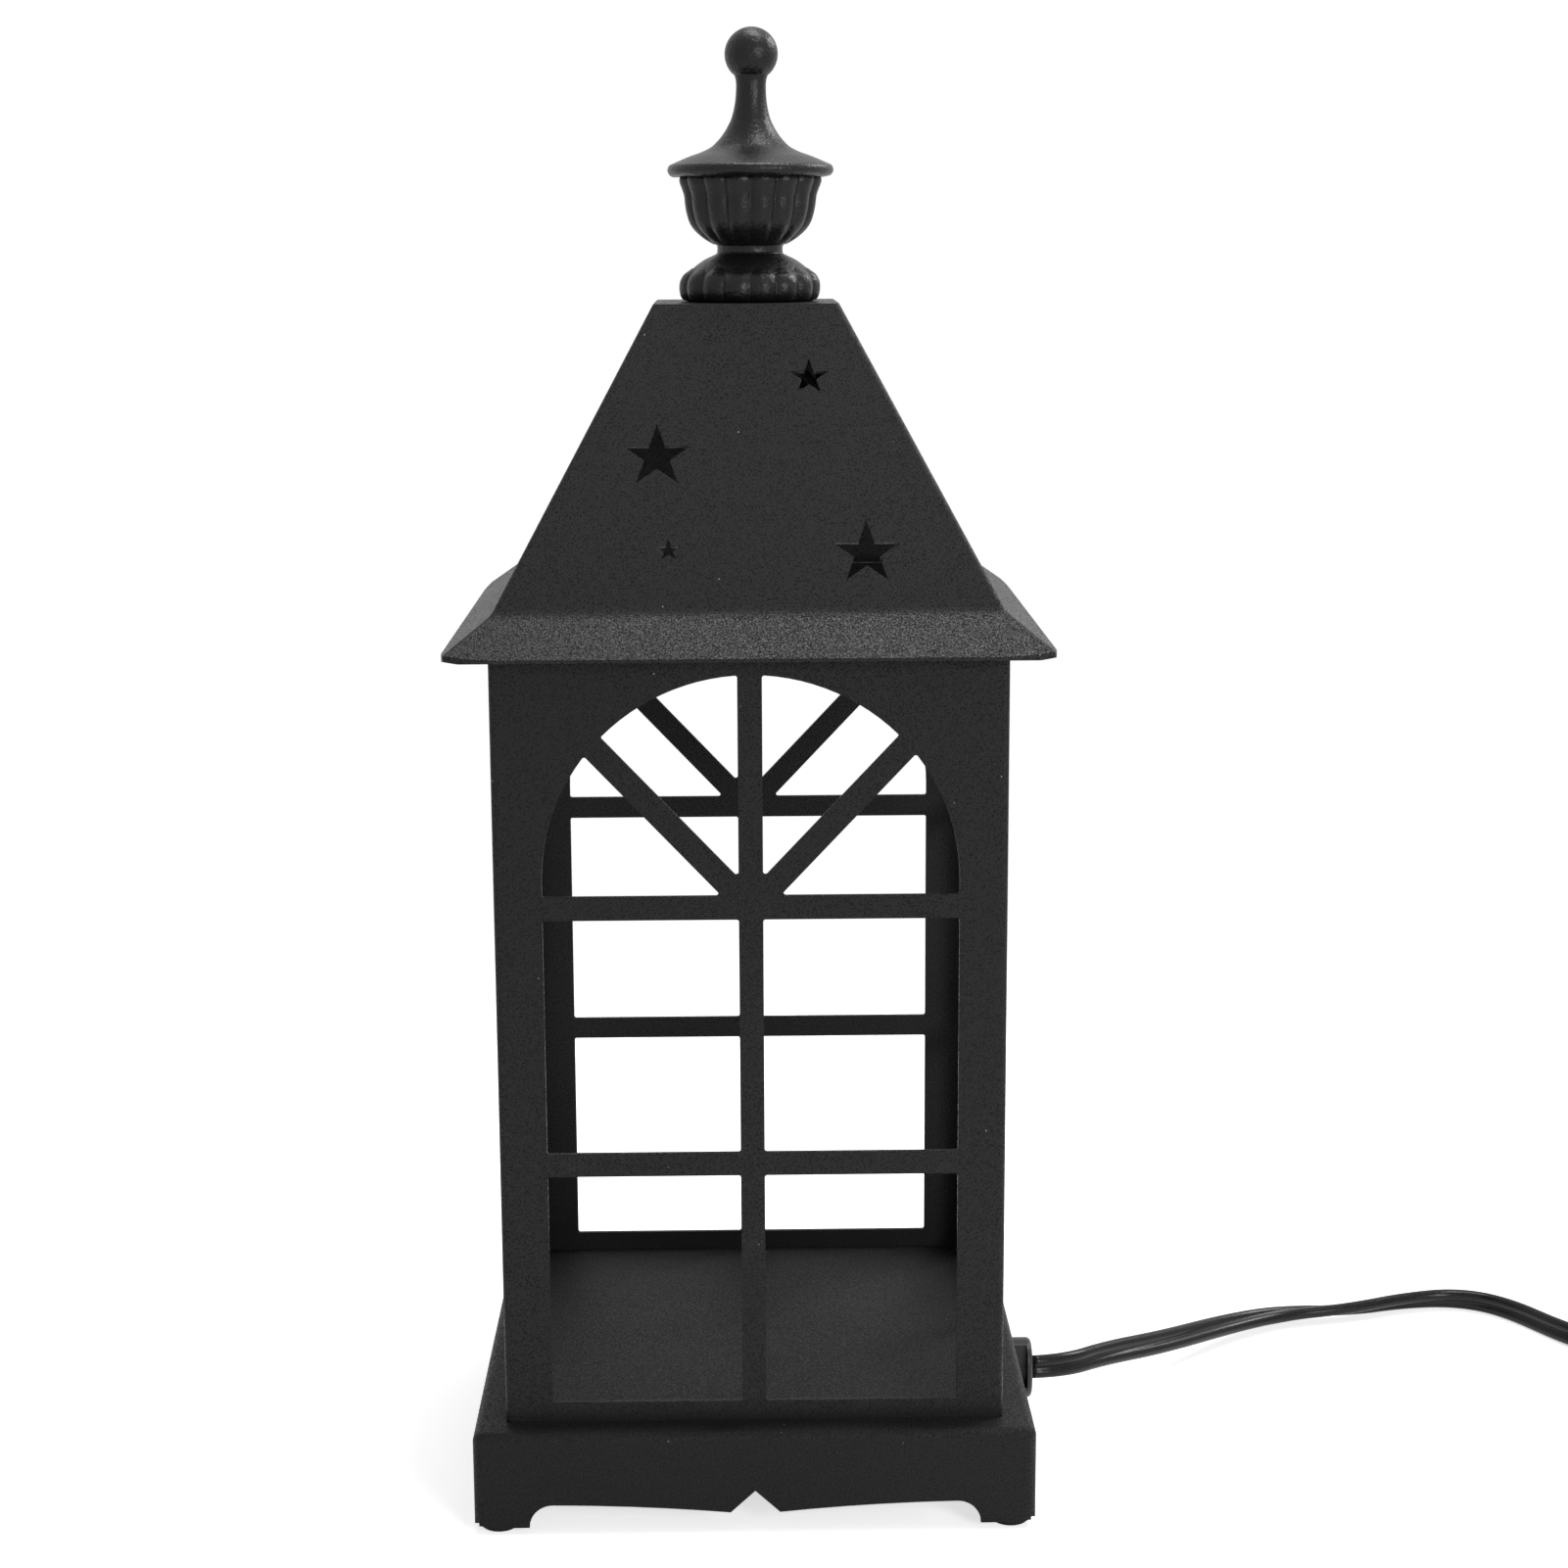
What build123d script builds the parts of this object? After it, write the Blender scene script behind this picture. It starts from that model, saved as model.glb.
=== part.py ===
"""Candle warmer lamp: a black sheet-steel lantern with a reflector bulb under its roof.

Millimetres, +Z up, +X to the lantern's right, +Y to its rear. The origin is on the table,
under the middle of the lantern. The flat twin lead leaves the base on the right and carries
an in-line switch, a coil and a plug.
"""

import os
from math import cos, radians, sin, tan

from build123d import *

os.makedirs("parts", exist_ok=True)

# ---------------------------------------------------------------- driving dimensions

# Sheet work
SHEET = 1.2  # painted steel sheet
PLAY = 0.2  # clearance of a tab, stem or screw in its hole
OVERRUN = 2.0  # how far a cutting shape runs past the sheet

# Base
FOOT_RISE = 1.8  # rubber bumper under the foot
BASE_WIDE = 140.8
BASE_TALL = 24.6
BASE_EDGE = 2.2  # outside radius of the bend between top and apron
BASE_CORNER = 1.4  # inside radius of an upright corner
FOOT_LONG = 13.9  # a foot, measured along the apron
FOOT_ROUND = 4.0
CUT_RISE = 5.9  # apron's lower edge beside a foot
CUT_LOW_RISE = 3.5  # apron's lower edge beside the middle notch
CUT_SHOULDER = 5.8  # from the foot to the highest place of that edge
CUT_SWELL = 0.3  # that edge bulges this far up on its way to the notch
NOTCH_HALF = 6.2
NOTCH_RISE = 9.2

# Rubber bumpers and the gussets that hold them
BUMPER_INSET = 6.1  # bumper axis from the outside of the apron
BUMPER_RADIUS = 4.7
BUMPER_EDGE = 0.6
STEM_RADIUS = 2.0
BARB_RADIUS = 2.9
BARB_TALL = 1.6
GUSSET_LONG = 12.0
GUSSET_NOSE = 5.0

# Lantern body
BODY_WIDE = 125.0
BODY_CORNER = 1.5
WALL_ROUND = 1.8  # lower corners of a wall
TAB_AT = 35.0  # tab axis from the middle of a wall
TAB_WIDE = 14.0
TAB_FOLD = 8.0
SCREW_AT = 30.0  # roof screw from the middle of a side wall
SCREW_DROP = 8.0  # roof screw below the top of the wall

# Window, heights above the base
WINDOW_HALF = 50.7
SILL = 5.3
LOWER_BAR = 67.4
UPPER_BAR = 132.4
CROSS_BAR = 5.9
MULLION = 5.9
ARCH_SPRING = 138.8
FAN_HUB = 132.2  # where the two slanting bars meet
FAN_ANGLE = 46.6
FAN_BAR = 6.0
CELL_ROUND = 0.6

# Roof
WALL_TO_BEND = 204.1  # base to the corner between slope and eave
BEND_INSET = 0.95  # that corner, inside the wall's outer face
BEND_RADIUS = 7.0
SLOPE = 61.8  # degrees from level
EAVE_SLOPE = 37.1
ROOF_TOP_HALF = 23.0
EAVE_OVERHANG = 11.0
EAVE_CURVE = 14.5  # eave straight ends this far from its corner
EAVE_TIP_IN = 1.4  # corner tip drawn in from the eave line
HIP_ROUND = 1.6
ROOF_SEAT = 0.1  # gap between wall top and roof
STAR_WAIST = 0.382  # inner radius of a star over its outer one
STARS = (  # across from the middle, down the slope from the top edge, radius
    (15.2, 19.9, 4.95),
    (-22.0, 40.7, 8.6),
    (28.4, 66.1, 8.6),
    (-19.2, 65.1, 3.0),
)
ROOF_TAB_WIDE = 16.0
ROOF_TAB_DROP = 15.0
ROOF_TAB_RISE = 12.0

# Screws and nuts
ROOF_SCREW = 1.5
ROOF_SCREW_LONG = 6.5
HEAD_RADIUS = 2.8
HEAD_TALL = 1.8
THREAD_PLAY = 0.05

# Finial on its rod
ROD_RADIUS = 3.0
ROD_BELOW = 11.0
ROD_ABOVE = 40.0
NUT_FLATS = 10.0
NUT_TALL = 5.0
WASHER_RADIUS = 6.0
WASHER_TALL = 1.2
FINIAL_BASE_TALL = 12.3
FINIAL_CUP_TALL = 18.0
# Profiles, as (radius, height above the foot of that piece)
BASE_RING = ((16.2, 0.0), (17.6, 2.9), (16.5, 6.8))
BASE_SWEEP = ((13.4, 9.2), (8.2, 12.3))
CUP_BOWL = ((8.2, 0.0), (8.3, 1.7), (12.6, 4.5), (15.7, 9.2), (16.4, 13.2))
CUP_FLARE = ((17.0, 15.7), (17.8, 18.0))
CAP_SWEEP = ((12.3, 6.9), (7.4, 10.5), (5.0, 14.7), (3.95, 19.5))  # from the rim to the neck
RIM_RADIUS = 20.6
RIM_TALL = 3.2
BALL_RADIUS = 6.7
BALL_RISE = 61.1  # ball centre above the roof
NECK_RADIUS = 3.7

# Lamp bracket and lampholder
BRACKET_SHEET = 1.5
BRACKET_WIDE = 20.0
BRACKET_HALF = 13.0
BRACKET_ARM = 18.0
HOLDER_DROP = 21.4  # roof top to the top of the lampholder
HOLDER_RADIUS = 15.75
HOLDER_TALL = 17.0
HOLDER_EDGE = 1.0
HOLDER_SCREW_AT = 8.0
HOLDER_SCREW = 1.5
HOLDER_SCREW_LONG = 8.0
FACE_PLATE = 2.0  # porcelain under the pin heads
PIN_CIRCLE = 5.0
PIN_NECK = 1.5
PIN_HEAD = 2.5
PIN_HEAD_TALL = 3.0
PIN_PLAY = 0.3
PIN_ROOM = 5.0
LOCK_TURN = 22.0  # twist between the entry hole and the locked place

# Bulb
BULB_LONG = 47.2
BULB_RADIUS = 25.0
BULB_RIM = 3.5
BULB_NECK = 12.0
BULB_NECK_TALL = 14.0
BULB_WALL = 1.6
GLASS_TALL = 2.0
GLASS_INSET = 0.8
CAPSULE_RADIUS = 4.6
CAPSULE_TALL = 20.0

# Wiring
CHANNEL_WIDE = 8.0
CHANNEL_SHEET = 0.8
CHANNEL_STOP = 26.0  # channel ends below the wall top
LEAD_RADIUS = 1.1
LEAD_HOLE = 3.6
LEAD_APART = 1.5
LEAD_STUB = 7.0  # straight run out of a crimp connector
LEAD_RISE = 3.0  # from there up to the channel's foot
LEAD_SWEEP = 16.0  # past the bracket and below it, on the way from the corner
LEAD_CREST = 8.0  # above the lampholder's top
LEAD_ENTRY = 12.6  # from the lampholder's axis
LEAD_SPREAD = 4.0
SPLICE_RADIUS = 2.6
SPLICE_LONG = 18.0
SPLICE_APART = 3.1
TAIL_RUN = 11.7  # from the strain relief to the crimp connectors
TAIL_BEND = 8.0
SPLICE_Y = -24.0
COVER_SHEET = 0.8
COVER_LEFT = 22.0
COVER_REAR = 20.0
COVER_INSET = 3.6  # from the outside of the apron
COVER_RISE = 6.2  # above the lower edge of the feet
STUD_RADIUS = 1.5
STUD_PROUD = 3.2
STUD_NUT_FLATS = 5.5
STUD_NUT_TALL = 2.4
STUD_INSET = 8.0  # from the cover's rear left corner
STUD_EDGE = 5.2  # from the cover's front and right edges
STUD_BACK = 20.0

# Strain relief
CORD_HEIGHT = 13.8  # lead's axis above the table
BUSH_HEAD_TALL = 16.4
BUSH_HEAD_WIDE = 12.8
BUSH_HEAD_ROUND = 6.2
BUSH_HEAD_EDGE = 1.3
BUSH_FLANGE = 1.5  # thickness left outside the slots and pockets
BUSH_SLOT_TALL = 5.5  # slot in both sides of the head
BUSH_SLOT_DEEP = 4.0
BUSH_SLOT_DROP = 0.85  # slot's middle below the lead's axis
BUSH_POCKET_TALL = 6.4  # shallower pocket over each slot, open at the top
BUSH_POCKET_DEEP = 3.4
BUSH_POCKET_RISE = 5.1  # pocket's middle above the lead's axis
BUSH_PROUD = 5.65
BUSH_SHANK = 6.25
BUSH_HOLE_PLAY = 0.1
BUSH_INSIDE = 9.5
CORD_WIDE = 6.0
CORD_THICK = 3.0
WEDGE_WIDE = 5.0
WEDGE_TOP = 3.6  # below the lead's axis
WEDGE_PLAY = 0.1

# Lead outside the lantern. Its points are chosen by hand, in order from the base, with X from
# the face of the strain relief.
CORD_RADIUS = CORD_WIDE / 2
ARC_SHARE = 0.45  # part of the shorter run that an arc takes
LEAD_TO_SWITCH = (
    (0.0, 0.0, 13.8),
    (9.45, 1.6, 13.4),
    (22.05, 14.2, 11.7),
    (40.95, 30.5, 8.3),
    (62.85, 52.0, 5.2),
    (80.45, 63.6, 3.6),
    (102.05, 67.3, 3.1),
    (120.05, 73.7, 3.0),
    (136.15, 75.5, 3.0),
    (148.85, 67.9, 3.0),
    (161.45, 45.0, 3.0),
    (168.05, 36.7, 4.6),
    (173.45, 26.0, 7.5),
)
LEAD_TO_COIL = (
    (195.95, -18.6, 7.5),
    (201.25, -29.2, 5.2),
    (212.55, -41.8, 3.2),
    (227.15, -50.8, 3.0),
    (243.75, -54.9, 3.0),
)
LEAD_TO_PLUG = (
    (299.45, -3.0, 9.0),
    (299.85, 9.0, 9.0),
    (300.55, 21.0, 9.0),
    (300.55, 33.0, 9.0),
)
COIL_AT = (260.95, -17.0)
COIL_RADIUS = 35.0
COIL_HALF = 6.2
COIL_TALL = 12.2
COIL_ROUND = 2.5

# In-line switch
SWITCH_LONG = 50.0
SWITCH_WIDE = 24.0
SWITCH_TALL = 15.0
SWITCH_ROUND = 8.0
SWITCH_EDGE = 2.0
SWITCH_WALL = 1.8
SWITCH_CORD_HOLE = 2.2
WHEEL_RADIUS = 8.0
WHEEL_TALL = 4.0
WHEEL_OFFSET = 6.5
WHEEL_PLAY = 0.35
WHEEL_RIBS = 24
RIB_CUT = 0.45
SPINDLE_RADIUS = 1.5
SPINDLE_PROUD = 1.4
SPINDLE_PLAY = 0.05
SPINDLE_BOSS = 3.2
SWITCH_SCREW_AT = 17.0
SWITCH_SCREW = 1.1
SWITCH_SCREW_HEAD = 2.3
SWITCH_SCREW_TALL = 1.7
SWITCH_POST = 3.4
CONTACT_LONG = 9.0
CONTACT_WIDE = 4.0
CONTACT_SHEET = 0.6
CONTACT_TALL = 3.0
CONTACT_AT = (9.5, -5.0)

# Plug
PLUG_WIDE = 24.0
PLUG_LONG = 30.0
PLUG_TALL = 18.0
PLUG_ROUND = 4.0
PLUG_TAPER = 8.0
BLADE_LONG = 17.5
BLADE_SUNK = 12.0
BLADE_WIDE = 6.35
BLADE_THICK = 1.5
BLADE_APART = 12.7
BLADE_PLAY = 0.05

# ---------------------------------------------------------------- levels and places

BASE_HALF = BASE_WIDE / 2
BASE_TOP = FOOT_RISE + BASE_TALL
BASE_UNDER = BASE_TOP - SHEET
APRON_IN = BASE_HALF - SHEET
BODY_HALF = BODY_WIDE / 2
WALL_IN = BODY_HALF - SHEET
FOOT_START = BASE_HALF - FOOT_LONG
BUMPER_AT = BASE_HALF - BUMPER_INSET

BEND_HALF = BODY_HALF - BEND_INSET
BEND_Z = BASE_TOP + WALL_TO_BEND
EAVE_HALF = BODY_HALF + EAVE_OVERHANG
EAVE_Z = BEND_Z - (EAVE_HALF - BEND_HALF) * tan(radians(EAVE_SLOPE))
ROOF_TOP = BEND_Z + (BEND_HALF - ROOF_TOP_HALF) * tan(radians(SLOPE))
ROOF_UNDER = ROOF_TOP - SHEET

# Directions in an upright section of the roof, as (outwards, up)
SLOPE_IN = Vector(-sin(radians(SLOPE)), -cos(radians(SLOPE)))
EAVE_IN = Vector(-sin(radians(EAVE_SLOPE)), -cos(radians(EAVE_SLOPE)))
EAVE_OUT = Vector(cos(radians(EAVE_SLOPE)), -sin(radians(EAVE_SLOPE)))
BEND_CORNER = Vector(BEND_HALF, BEND_Z)
EAVE_TOE = Vector(EAVE_HALF, EAVE_Z)
INNER_CORNER = BEND_CORNER + (SLOPE_IN + EAVE_IN) * (SHEET / (1 + cos(radians(SLOPE - EAVE_SLOPE))))
WALL_TOP = INNER_CORNER.Y - (BODY_HALF - INNER_CORNER.X) * tan(radians(EAVE_SLOPE)) - ROOF_SEAT
WALL_TALL = WALL_TOP - BASE_TOP
SCREW_Z = WALL_TOP - SCREW_DROP

SILL_Z = BASE_TOP + SILL
ARCH_Z = BASE_TOP + ARCH_SPRING

HOLDER_TOP = ROOF_TOP - HOLDER_DROP
HOLDER_UNDER = HOLDER_TOP - HOLDER_TALL
BULB_TOP = HOLDER_UNDER - PIN_PLAY
BULB_UNDER = BULB_TOP - BULB_LONG

CHANNEL_MID = WALL_IN - CHANNEL_WIDE / 2
COVER_UNDER = FOOT_RISE + COVER_RISE
COVER_EDGE = BASE_HALF - COVER_INSET
STUDS = (
    (COVER_LEFT + STUD_INSET, COVER_REAR - STUD_INSET),
    (COVER_EDGE - STUD_BACK, STUD_EDGE - COVER_EDGE),
    (COVER_EDGE - STUD_EDGE, -STUD_BACK),
)
BUSH_FACE = BASE_HALF + BUSH_PROUD
BUSH_END = APRON_IN - BUSH_INSIDE
SPLICE_X = BUSH_END - TAIL_RUN


def from_bush(points):
    """Points of the lead, placed from the face of the strain relief."""
    return [(BUSH_FACE + x, y, z) for x, y, z in points]


TO_SWITCH = from_bush(LEAD_TO_SWITCH)
TO_COIL = from_bush(LEAD_TO_COIL)
TO_PLUG = from_bush(LEAD_TO_PLUG)
COIL_CENTRE = (BUSH_FACE + COIL_AT[0], COIL_AT[1])
SWITCH_START = Vector(*TO_SWITCH[-1])
SWITCH_END = Vector(*TO_COIL[0])
SWITCH_MID = (SWITCH_START + SWITCH_END) * 0.5
SWITCH_PLANE = Plane(
    origin=(SWITCH_MID.X, SWITCH_MID.Y, 0),
    x_dir=(SWITCH_END - SWITCH_START).normalized(),
    z_dir=(0, 0, 1),
)
SWITCH_SPLIT = SWITCH_TALL / 2

PLUG_X = TO_PLUG[-1][0]
PLUG_Y = TO_PLUG[-1][1]
PLUG_Z = TO_PLUG[-1][2]

FROM_LOW = (Align.CENTER, Align.CENTER, Align.MIN)
FROM_HIGH = (Align.CENTER, Align.CENTER, Align.MAX)


def keep(part, label):
    """Name a finished piece and write it."""
    part.label = label
    export_step(part, f"parts/{label}.step")


# ---------------------------------------------------------------- base


def apron_cut(plane):
    """Outline between two feet, under an apron: shoulders, a low middle and a pointed notch."""
    low = FOOT_RISE - OVERRUN
    high = FOOT_RISE + CUT_RISE
    shoulder = FOOT_START - CUT_SHOULDER
    middle = FOOT_RISE + CUT_LOW_RISE
    with BuildSketch(plane) as cut:
        with BuildLine():
            foot = Line((FOOT_START, low), (FOOT_START, FOOT_RISE))
            rise = RadiusArc(foot @ 1, (shoulder, high), -CUT_SHOULDER)
            edge = Spline(rise @ 1, (shoulder / 2, (high + middle) / 2 + CUT_SWELL), (NOTCH_HALF, middle))
            peak = Line(edge @ 1, (0, FOOT_RISE + NOTCH_RISE))
            Polyline(peak @ 1, (0, low), foot @ 0)
        make_face()
        mirror(about=Plane.YZ)
    return cut.sketch


def low_corners(plane, half, low, radius):
    """Waste outside the two rounded lower corners of an apron or a wall."""
    with BuildSketch(plane) as waste:
        with Locations((half, low), (-half, low)):
            Rectangle(2 * radius, 2 * radius)
        with Locations((half - radius, low + radius), (radius - half, low + radius)):
            Circle(radius, mode=Mode.SUBTRACT)
    return waste.sketch


def base_block(inset, corner, edge):
    """Block of the base's plan with a rounded top edge, for its outside or its inside."""
    with BuildPart() as block:
        with BuildSketch(Plane.XY.offset(FOOT_RISE)):
            RectangleRounded(BASE_WIDE - 2 * inset, BASE_WIDE - 2 * inset, corner)
        extrude(amount=BASE_TALL - inset)
        fillet(block.faces().sort_by(Axis.Z)[-1].edges(), edge)
    return block.part


with BuildPart() as base_pan:
    add(base_block(0, BASE_CORNER + SHEET, BASE_EDGE))
    add(base_block(SHEET, BASE_CORNER, BASE_EDGE - SHEET), mode=Mode.SUBTRACT)
    for side in (Plane.XZ, Plane.YZ):
        gap = apron_cut(side.offset(-BASE_WIDE))
        extrude(gap, amount=2 * BASE_WIDE, dir=side.z_dir, mode=Mode.SUBTRACT)
        for end in (1, -1):
            face = side.offset(end * (BASE_HALF + OVERRUN))
            waste = low_corners(face, BASE_HALF, FOOT_RISE, FOOT_ROUND)
            extrude(waste, amount=SHEET + OVERRUN, dir=side.z_dir * -end, mode=Mode.SUBTRACT)
    with Locations((0, 0, BASE_UNDER - OVERRUN)):
        with PolarLocations(0, 4):
            with Locations((TAB_AT, SHEET / 2 - BODY_HALF), (-TAB_AT, SHEET / 2 - BODY_HALF)):
                Box(
                    TAB_WIDE + 2 * PLAY,
                    SHEET + 2 * PLAY,
                    SHEET + 2 * OVERRUN,
                    align=FROM_LOW,
                    mode=Mode.SUBTRACT,
                )
    with Locations((CHANNEL_MID, -CHANNEL_MID, BASE_UNDER - OVERRUN)):
        Cylinder(LEAD_HOLE, SHEET + 2 * OVERRUN, align=FROM_LOW, mode=Mode.SUBTRACT)
    with Locations((APRON_IN, 0, CORD_HEIGHT)):
        Cylinder(BUSH_SHANK + BUSH_HOLE_PLAY, 4 * SHEET, rotation=(0, 90, 0), mode=Mode.SUBTRACT)
keep(base_pan.part, "base_pan")

with BuildPart() as corner_gussets:
    with BuildSketch(Plane.XY.offset(FOOT_RISE)):
        with PolarLocations(0, 4):
            near = APRON_IN - GUSSET_LONG
            nose = near + GUSSET_NOSE
            trim = APRON_IN - FOOT_ROUND
            Polygon(
                (near, APRON_IN),
                (near, APRON_IN - GUSSET_NOSE),
                (APRON_IN - GUSSET_NOSE, near),
                (APRON_IN, near),
                (APRON_IN, trim),
                (trim, APRON_IN),
                align=None,
            )
        with GridLocations(2 * BUMPER_AT, 2 * BUMPER_AT, 2, 2):
            Circle(STEM_RADIUS + PLAY, mode=Mode.SUBTRACT)
    extrude(amount=SHEET)
keep(corner_gussets.part, "corner_gussets")

with BuildPart() as rubber_feet:
    with GridLocations(2 * BUMPER_AT, 2 * BUMPER_AT, 2, 2):
        Cylinder(BUMPER_RADIUS, FOOT_RISE, align=FROM_LOW)
    fillet(rubber_feet.edges().group_by(Axis.Z)[0], BUMPER_EDGE)
    with Locations((0, 0, FOOT_RISE)):
        with GridLocations(2 * BUMPER_AT, 2 * BUMPER_AT, 2, 2):
            Cylinder(STEM_RADIUS, SHEET, align=FROM_LOW)
    with Locations((0, 0, FOOT_RISE + SHEET)):
        with GridLocations(2 * BUMPER_AT, 2 * BUMPER_AT, 2, 2):
            Cylinder(BARB_RADIUS, BARB_TALL, align=FROM_LOW)
keep(rubber_feet.part, "rubber_feet")

# ---------------------------------------------------------------- walls

FRONT_CUT = Plane.XZ.offset(BODY_HALF + OVERRUN)


def at_spring(corner):
    """True where the upright side of the window runs into its arch."""
    return abs(abs(corner.X) - WINDOW_HALF) < CELL_ROUND and abs(corner.Z - ARCH_Z) < CELL_ROUND


def arch_opening():
    """The whole arched opening, without bars."""
    with BuildSketch(FRONT_CUT) as opening:
        with Locations((0, SILL_Z)):
            Rectangle(2 * WINDOW_HALF, ARCH_Z - SILL_Z, align=(Align.CENTER, Align.MIN))
        with Locations((0, ARCH_Z)):
            Circle(WINDOW_HALF)
        fillet(opening.vertices().group_by(Axis.Z)[0], CELL_ROUND)
    return opening.sketch


def window_cells():
    """The arched opening, divided by a mullion, two cross bars and two slanting bars."""
    with BuildSketch(FRONT_CUT) as cells:
        with Locations((0, SILL_Z)):
            Rectangle(2 * WINDOW_HALF, ARCH_Z - SILL_Z, align=(Align.CENTER, Align.MIN))
        with Locations((0, ARCH_Z)):
            Circle(WINDOW_HALF)
        with Locations((0, SILL_Z)):
            Rectangle(MULLION, WALL_TALL, align=(Align.CENTER, Align.MIN), mode=Mode.SUBTRACT)
        for rise in (LOWER_BAR, UPPER_BAR):
            with Locations((0, BASE_TOP + rise)):
                Rectangle(2 * BODY_HALF, CROSS_BAR, mode=Mode.SUBTRACT)
        with Locations((0, BASE_TOP + FAN_HUB)):
            for angle in (FAN_ANGLE, 180 - FAN_ANGLE):
                Rectangle(
                    2 * WINDOW_HALF,
                    FAN_BAR,
                    rotation=angle,
                    align=(Align.MIN, Align.CENTER),
                    mode=Mode.SUBTRACT,
                )
        fillet([corner for corner in cells.vertices() if not at_spring(corner)], CELL_ROUND)
    return cells.sketch


def wall_panel(label, turn, opening, screwed):
    """One wall with mitred corners and two tabs folded under the base, made as the front one."""
    with BuildPart() as panel:
        with BuildSketch(Plane.XY.offset(BASE_TOP)):
            RectangleRounded(BODY_WIDE, BODY_WIDE, BODY_CORNER)
            RectangleRounded(2 * WALL_IN, 2 * WALL_IN, BODY_CORNER - SHEET, mode=Mode.SUBTRACT)
            Polygon(
                (0, 0),
                (-BODY_WIDE, -BODY_WIDE),
                (BODY_WIDE, -BODY_WIDE),
                align=None,
                mode=Mode.INTERSECT,
            )
        extrude(amount=WALL_TALL)
        with Locations((TAB_AT, -BODY_HALF, BASE_UNDER), (-TAB_AT, -BODY_HALF, BASE_UNDER)):
            Box(TAB_WIDE, SHEET, SHEET, align=(Align.CENTER, Align.MIN, Align.MIN))
            Box(TAB_WIDE, TAB_FOLD, SHEET, align=(Align.CENTER, Align.MIN, Align.MAX))
        extrude(opening, amount=SHEET + 2 * OVERRUN, dir=(0, 1, 0), mode=Mode.SUBTRACT)
        waste = low_corners(FRONT_CUT, BODY_HALF, BASE_TOP, WALL_ROUND)
        extrude(waste, amount=SHEET + OVERRUN, dir=(0, 1, 0), mode=Mode.SUBTRACT)
        if screwed:
            with Locations((SCREW_AT, -BODY_HALF, SCREW_Z), (-SCREW_AT, -BODY_HALF, SCREW_Z)):
                Cylinder(ROOF_SCREW + PLAY, 4 * SHEET, rotation=(90, 0, 0), mode=Mode.SUBTRACT)
    keep(panel.part.rotate(Axis.Z, turn), label)


wall_panel("front_panel", 0, window_cells(), False)
wall_panel("right_panel", 90, window_cells(), True)
wall_panel("rear_panel", 180, window_cells(), False)
wall_panel("left_panel", 270, arch_opening(), True)

with BuildPart() as wire_channel:
    with BuildSketch(Plane.XY.offset(BASE_TOP)):
        with Locations((CHANNEL_MID, -CHANNEL_MID)):
            Rectangle(CHANNEL_WIDE, CHANNEL_WIDE)
        with Locations((CHANNEL_MID + CHANNEL_SHEET, -CHANNEL_MID - CHANNEL_SHEET)):
            Rectangle(CHANNEL_WIDE, CHANNEL_WIDE, mode=Mode.SUBTRACT)
    extrude(amount=WALL_TALL - CHANNEL_STOP)
keep(wire_channel.part, "wire_channel")

# ---------------------------------------------------------------- roof


def roof_block(top_half, top, corner, toe, heel, bend):
    """Solid under a roof surface: one section run along X, kept where it also runs along Y."""
    with BuildPart() as block:
        for plane, mode in ((Plane.XZ, Mode.ADD), (Plane.YZ, Mode.INTERSECT)):
            with BuildSketch(plane):
                with BuildLine():
                    FilletPolyline((top_half, top), (corner.X, corner.Y), (toe.X, toe.Y), radius=bend)
                    Polyline((toe.X, toe.Y), (heel.X, heel.Y), (0, heel.Y), (0, top), (top_half, top))
                make_face()
                mirror(about=Plane.YZ)
            extrude(amount=2 * EAVE_HALF, both=True, mode=mode)
    return block.part


def on_hip(edge):
    """True for the edges that run up the corners of the roof."""
    middle = edge.center()
    return abs(abs(middle.X) - abs(middle.Y)) < 0.01 and EAVE_Z < middle.Z < ROOF_TOP


INNER_TOP = ROOF_TOP + OVERRUN
INNER_TOP_HALF = ROOF_TOP_HALF - SHEET / sin(radians(SLOPE)) - OVERRUN / tan(radians(SLOPE))
INNER_TOE = EAVE_TOE + EAVE_IN * SHEET + EAVE_OUT * (2 * OVERRUN)
ROOF_INSIDE = roof_block(
    INNER_TOP_HALF,
    INNER_TOP,
    INNER_CORNER,
    INNER_TOE,
    INNER_TOE - Vector(0, 2 * OVERRUN),
    BEND_RADIUS + SHEET,
)

with BuildPart() as roof_shell:
    add(
        roof_block(
            ROOF_TOP_HALF,
            ROOF_TOP,
            BEND_CORNER,
            EAVE_TOE,
            EAVE_TOE + EAVE_IN * (SHEET + OVERRUN / 2),
            BEND_RADIUS,
        )
    )
    fillet(roof_shell.edges().filter_by(on_hip), HIP_ROUND)
    add(ROOF_INSIDE, mode=Mode.SUBTRACT)

FACE_PLANE = Plane(
    origin=(0, -ROOF_TOP_HALF, ROOF_TOP),
    x_dir=(1, 0, 0),
    z_dir=(0, sin(radians(SLOPE)), -cos(radians(SLOPE))),
)


def star(radius):
    """Corners of an upright five-pointed star, its top towards the roof's top edge."""
    corners = []
    for step in range(10):
        reach = radius if step % 2 == 0 else radius * STAR_WAIST
        angle = radians(36 * step)
        corners.append((reach * sin(angle), -reach * cos(angle)))
    return corners


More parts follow.
